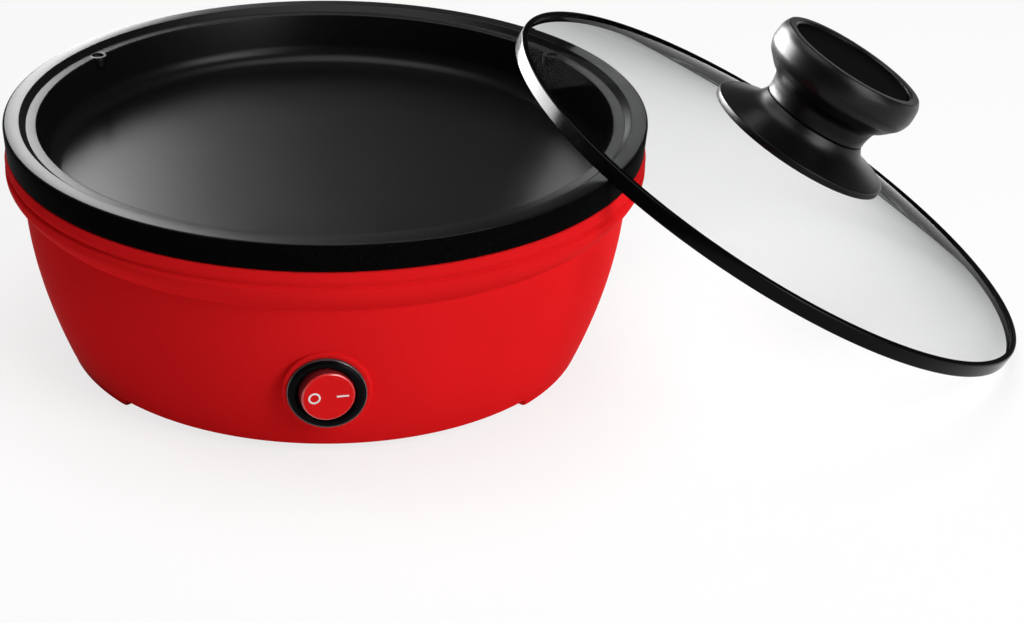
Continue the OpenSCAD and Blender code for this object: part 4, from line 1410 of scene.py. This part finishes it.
    def build_grip(self, paint: Paintbox) -> Piece:
        """Builds the mushroom-shaped grip with its recess.

        Args:
            paint: The finishes.

        Returns:
            The grip.
        """
        z = self.skirt_z() + self.skirt_h + self.fit
        h, neck, grip = self.grip_h, self.neck_r, self.grip_r
        bore = self.bore_r
        out = grip - neck
        shape = ((neck - 0.35, 0.0), (neck - 0.02, 0.022), (neck, 0.08), (neck + 0.25, 0.16),
                 (neck + 0.13 * out, 0.284), (neck + 0.42 * out, 0.374), (neck + 0.675 * out, 0.47),
                 (neck + 0.855 * out, 0.542), (grip - 0.2, 0.648), (grip, 0.733), (grip - 0.25, 0.868),
                 (grip - 0.75, 0.936), (grip - 1.5, 0.99))
        flank = flowing([(r, z + share * h) for r, share in shape], 5)
        lip = [Corner(grip - self.top_in, z + h), Corner(self.disc_r + self.fit + self.lip_edge, z + h, 0.2),
               Corner(self.disc_r + self.fit, z + h - self.lip_edge, 0.2),
               Corner(self.disc_r + self.fit, z + h - self.recess), Corner(0.0, z + h - self.recess),
               Corner(0.0, z + self.bore_share * h), Corner(bore, z + self.bore_share * h), Corner(bore, z)]
        knob = turned("knob_mushroom", rounded(plain(flank) + lip, 5), Steps.KNOB, self.place())
        return self.finish(knob, paint, "knob", "knob_plastic", "knob_grip")

    def build_disc(self, paint: Paintbox) -> Piece:
        """Builds the textured disc in the grip's top.

        Args:
            paint: The finishes.

        Returns:
            The disc.
        """
        z = self.skirt_z() + self.skirt_h + self.fit + self.grip_h - self.recess
        top = z + self.disc_t
        section = rounded([Corner(0.0, z), Corner(self.disc_r, z), Corner(self.disc_r, top, 0.4),
                           Corner(self.disc_r - self.disc_rim, top), Corner(0.0, top)], 4)
        disc = turned("knob_inlay", section, Steps.SWITCH, self.place())
        return self.finish(disc, paint, "knob_top", "knob_disc", "knob_disc")


@dataclass(frozen=True)
class Lamp:
    """A soft box: where it is, what it faces, its size and power."""

    name: str
    at: Triple
    to: Triple
    size: Point
    power: float

    def facing(self) -> Matrix:
        """Frame of the box, facing what it lights."""
        way = Vector(self.to) - Vector(self.at)
        return Matrix.Translation(self.at) @ way.to_track_quat("-Z", "Y").to_matrix().to_4x4()

    def hang(self) -> None:
        """Adds the lamp to the scene."""
        data = bpy.data.lights.new(self.name, "AREA")
        data.shape = "RECTANGLE"
        data.size, data.size_y = self.size
        data.energy = self.power
        lamp = bpy.data.objects.new(self.name, data)
        lamp.matrix_world = self.facing()
        bpy.context.scene.collection.objects.link(lamp)


@dataclass(frozen=True)
class Card:
    """A bright card bent round the part, seen in reflections alone, or in those that pass the glass.

    Its two ends are azimuths in degrees from the back, more being further to the right.
    """

    name: str
    start: float
    end: float
    low: float
    high: float
    power: float
    radius: float = 1.4
    through_glass: bool = False

    def hang(self) -> None:
        """Adds the card to the scene."""
        shape = bmesh.new()
        rows = []
        for k in range(Steps.SHORT + 1):
            a = math.radians(self.start + (self.end - self.start) * k / Steps.SHORT)
            x, y = self.radius * math.sin(a), self.radius * math.cos(a)
            rows.append([shape.verts.new((x, y, z)) for z in (self.low, self.high)])
        for first, second in zip(rows, rows[1:]):
            shape.faces.new((first[0], second[0], second[1], first[1]))
        card = linked(self.name, shape)
        g = Graph(self.name)
        glow = g.add("ShaderNodeEmission", Color=(1.0, 1.0, 1.0, 1.0), Strength=self.power)
        g.join(glow.outputs["Emission"], g.output.inputs["Surface"])
        card.data.materials.append(g.material)
        card.visible_camera = card.visible_diffuse = card.visible_shadow = False
        card.visible_transmission, card.visible_glossy = self.through_glass, not self.through_glass


@dataclass
class Studio:
    """Pale floor, plain surround, soft boxes, cards and the camera."""

    rim_z: float = 0.080
    camera_back: float = 0.6825
    camera_up: float = 0.275877
    pitch: float = 27.234
    focal_pixels: float = 2237.8
    axis_column: float = 325.0
    sensor_width: float = 36.0
    floor_z: float = -0.0002
    floor_size: float = 6.0
    floor_white: Rgb = (0.98, 0.98, 0.98)
    ambient: float = 0.1
    floor_glow: float = 0.77
    floor_bounce: float = 0.85
    glass_floor: float = 1.38
    lamps: tuple[Lamp, ...] = field(default_factory=lambda: (
        Lamp("key box", at=(1.0, -0.95, 0.85), to=(0.0, 0.0, 0.04), size=(0.8, 0.8), power=17.0),
        Lamp("top box", at=(-0.05, 0.1, 1.4), to=(0.05, 0.0, 0.0), size=(1.0, 1.0), power=11.0),
    ))
    cards: tuple[Card, ...] = (
        Card("back left card", start=-16.0, end=-8.5, low=0.0, high=2.0, power=11.5),
        Card(LID_CARD, start=-68.0, end=-18.0, low=0.0, high=0.9, power=40.0),
        Card("right card", start=120.0, end=162.0, low=0.0, high=0.55, power=5.0),
        Card("glass card", start=4.0, end=22.0, low=0.35, high=1.1, power=4.4, through_glass=True),
    )

    def build_camera(self) -> None:
        """Sets the camera to the photograph's view."""
        data = bpy.data.cameras.new("photo view")
        data.sensor_width = self.sensor_width
        data.sensor_fit = "HORIZONTAL"
        data.lens = self.focal_pixels * data.sensor_width / PHOTO_WIDTH
        data.shift_x = (PHOTO_WIDTH / 2 - self.axis_column) / PHOTO_WIDTH
        camera = bpy.data.objects.new("photo view", data)
        camera.location = (0.0, -self.camera_back, self.rim_z + self.camera_up)
        camera.rotation_euler = (math.radians(90 - self.pitch), 0.0, 0.0)
        bpy.context.scene.collection.objects.link(camera)
        bpy.context.scene.camera = camera

    def build_floor(self) -> None:
        """Lays the floor: white where it is seen, plainer as a source of bounced light."""
        shape = bmesh.new()
        bmesh.ops.create_grid(shape, x_segments=1, y_segments=1, size=self.floor_size)
        floor = linked("floor", shape)
        floor.location = (0.0, 0.0, self.floor_z)
        g = Graph("floor paper")
        path = g.add("ShaderNodeLightPath")
        seen = path.outputs["Is Camera Ray"]
        for kind in ("Is Glossy Ray", "Is Transmission Ray"):
            seen = g.combined("MAXIMUM", seen, path.outputs[kind])
        bounce = (self.floor_bounce,) * 3
        paper = g.add("ShaderNodeBsdfDiffuse", Color=g.blended(seen, bounce, self.floor_white))
        level = g.spread(path.outputs["Is Transmission Ray"], 1.0, self.glass_floor, 0.0, 1.0)
        glow = g.add("ShaderNodeEmission", Color=(1.0, 1.0, 1.0, 1.0), Strength=level)
        share = g.spread(seen, 0.0, self.floor_glow, 0.0, 1.0)
        g.show_mix(share, paper.outputs["BSDF"], glow.outputs["Emission"])
        floor.data.materials.append(g.material)

    def build_world(self) -> None:
        """Sets the plain surround."""
        world = bpy.data.worlds.new("surround")
        bpy.context.scene.world = world
        world.use_nodes = True
        sky = world.node_tree.nodes["Background"]
        sky.inputs["Color"].default_value = (1.0, 1.0, 1.0, 1.0)
        sky.inputs["Strength"].default_value = self.ambient

    def build(self) -> None:
        """Builds the whole studio."""
        self.build_camera()
        self.build_floor()
        self.build_world()
        for light in (*self.lamps, *self.cards):
            light.hang()
        bpy.context.scene.view_settings.view_transform = "Standard"

    def keep_to(self, name: str, pieces: list[Piece]) -> None:
        """Keeps a card's reflection to some pieces.

        Args:
            name: The card.
            pieces: The pieces that show it.
        """
        only = bpy.data.collections.new(name)
        for piece in pieces:
            only.objects.link(piece)
        bpy.data.objects[name].light_linking.receiver_collection = only


@dataclass
class Insides:
    """Finishes of the nodes that are shown as they come from the frame."""

    plain_nodes: dict[str, str] = field(default_factory=lambda: {
        "bottom_cover": "dark_sheet", "cover_screws": "steel", "tie_stud": "steel", "tie_nuts": "steel",
        "tie_washers": "steel", "reflector_spacer": "steel", "heat_reflector": "bright",
        "heating_element": "steel", "terminal_beads": "ceramic", "element_clamps": "steel",
        "pan_screws": "steel", "thermostat": "bright",
        "thermal_fuse": "ceramic", "fuse_clip": "steel", "terminal_block": "ceramic", "block_screw": "steel",
        "cord_bushing": "bezel", "bushing_nut": "bezel", "push_on_sleeves": "sleeve", "earth_lug": "brass",
        "switch_terminals": "brass", "neon_lamp": "lamp", "rocker_plunger": "brass", "contact_blade": "brass",
        "lid_screw": "steel", "lid_washer": "rubber"})
    leads: dict[str, Rgb] = field(default_factory=lambda: {
        "lead_live": (0.1, 0.035, 0.02), "lead_switched": (0.02, 0.02, 0.02), "lead_fuse": (0.6, 0.58, 0.5),
        "lead_neutral": (0.05, 0.12, 0.28), "lead_lamp": (0.05, 0.12, 0.28), "lead_earth": (0.2, 0.4, 0.06)})

    def dress(self, nodes: dict[str, Piece], paint: Paintbox) -> int:
        """Gives each node its finish.

        Args:
            nodes: The frame's nodes by name.
            paint: The finishes.

        Returns:
            How many nodes were dressed.
        """
        finishes = {name: paint.get(finish) for name, finish in self.plain_nodes.items()}
        finishes.update({name: paint.lead(name, colour) for name, colour in self.leads.items()})
        for name, material in finishes.items():
            node = nodes[name]
            if not node.material_slots:
                node.data.materials.append(material)
            for slot in node.material_slots:
                slot.material = material
        return len(finishes)


def main() -> None:
    """Loads the frame, builds every piece and reports it."""
    logging.basicConfig(level=logging.INFO, format="%(message)s")
    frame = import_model()
    studio = Studio()
    studio.build()
    paint = Paintbox()
    switch = Switch()
    lid = Lid()
    lid_pieces = [lid.build_glass(paint), lid.build_band(paint), lid.build_skirt(paint),
                  lid.build_grip(paint), lid.build_disc(paint)]
    studio.keep_to(LID_CARD, lid_pieces)
    pieces = [Housing().build(paint, switch.place()), Pan().build(paint), switch.build_body(paint),
              switch.build_rocker(paint), *switch.build_marks(paint), *lid_pieces]
    for piece in pieces:
        LOG.info("%s: %d faces", piece.name, len(piece.data.polygons))
    LOG.info("%d nodes dressed", Insides().dress(frame["nodes"], paint))


if __name__ == "__main__":
    main()
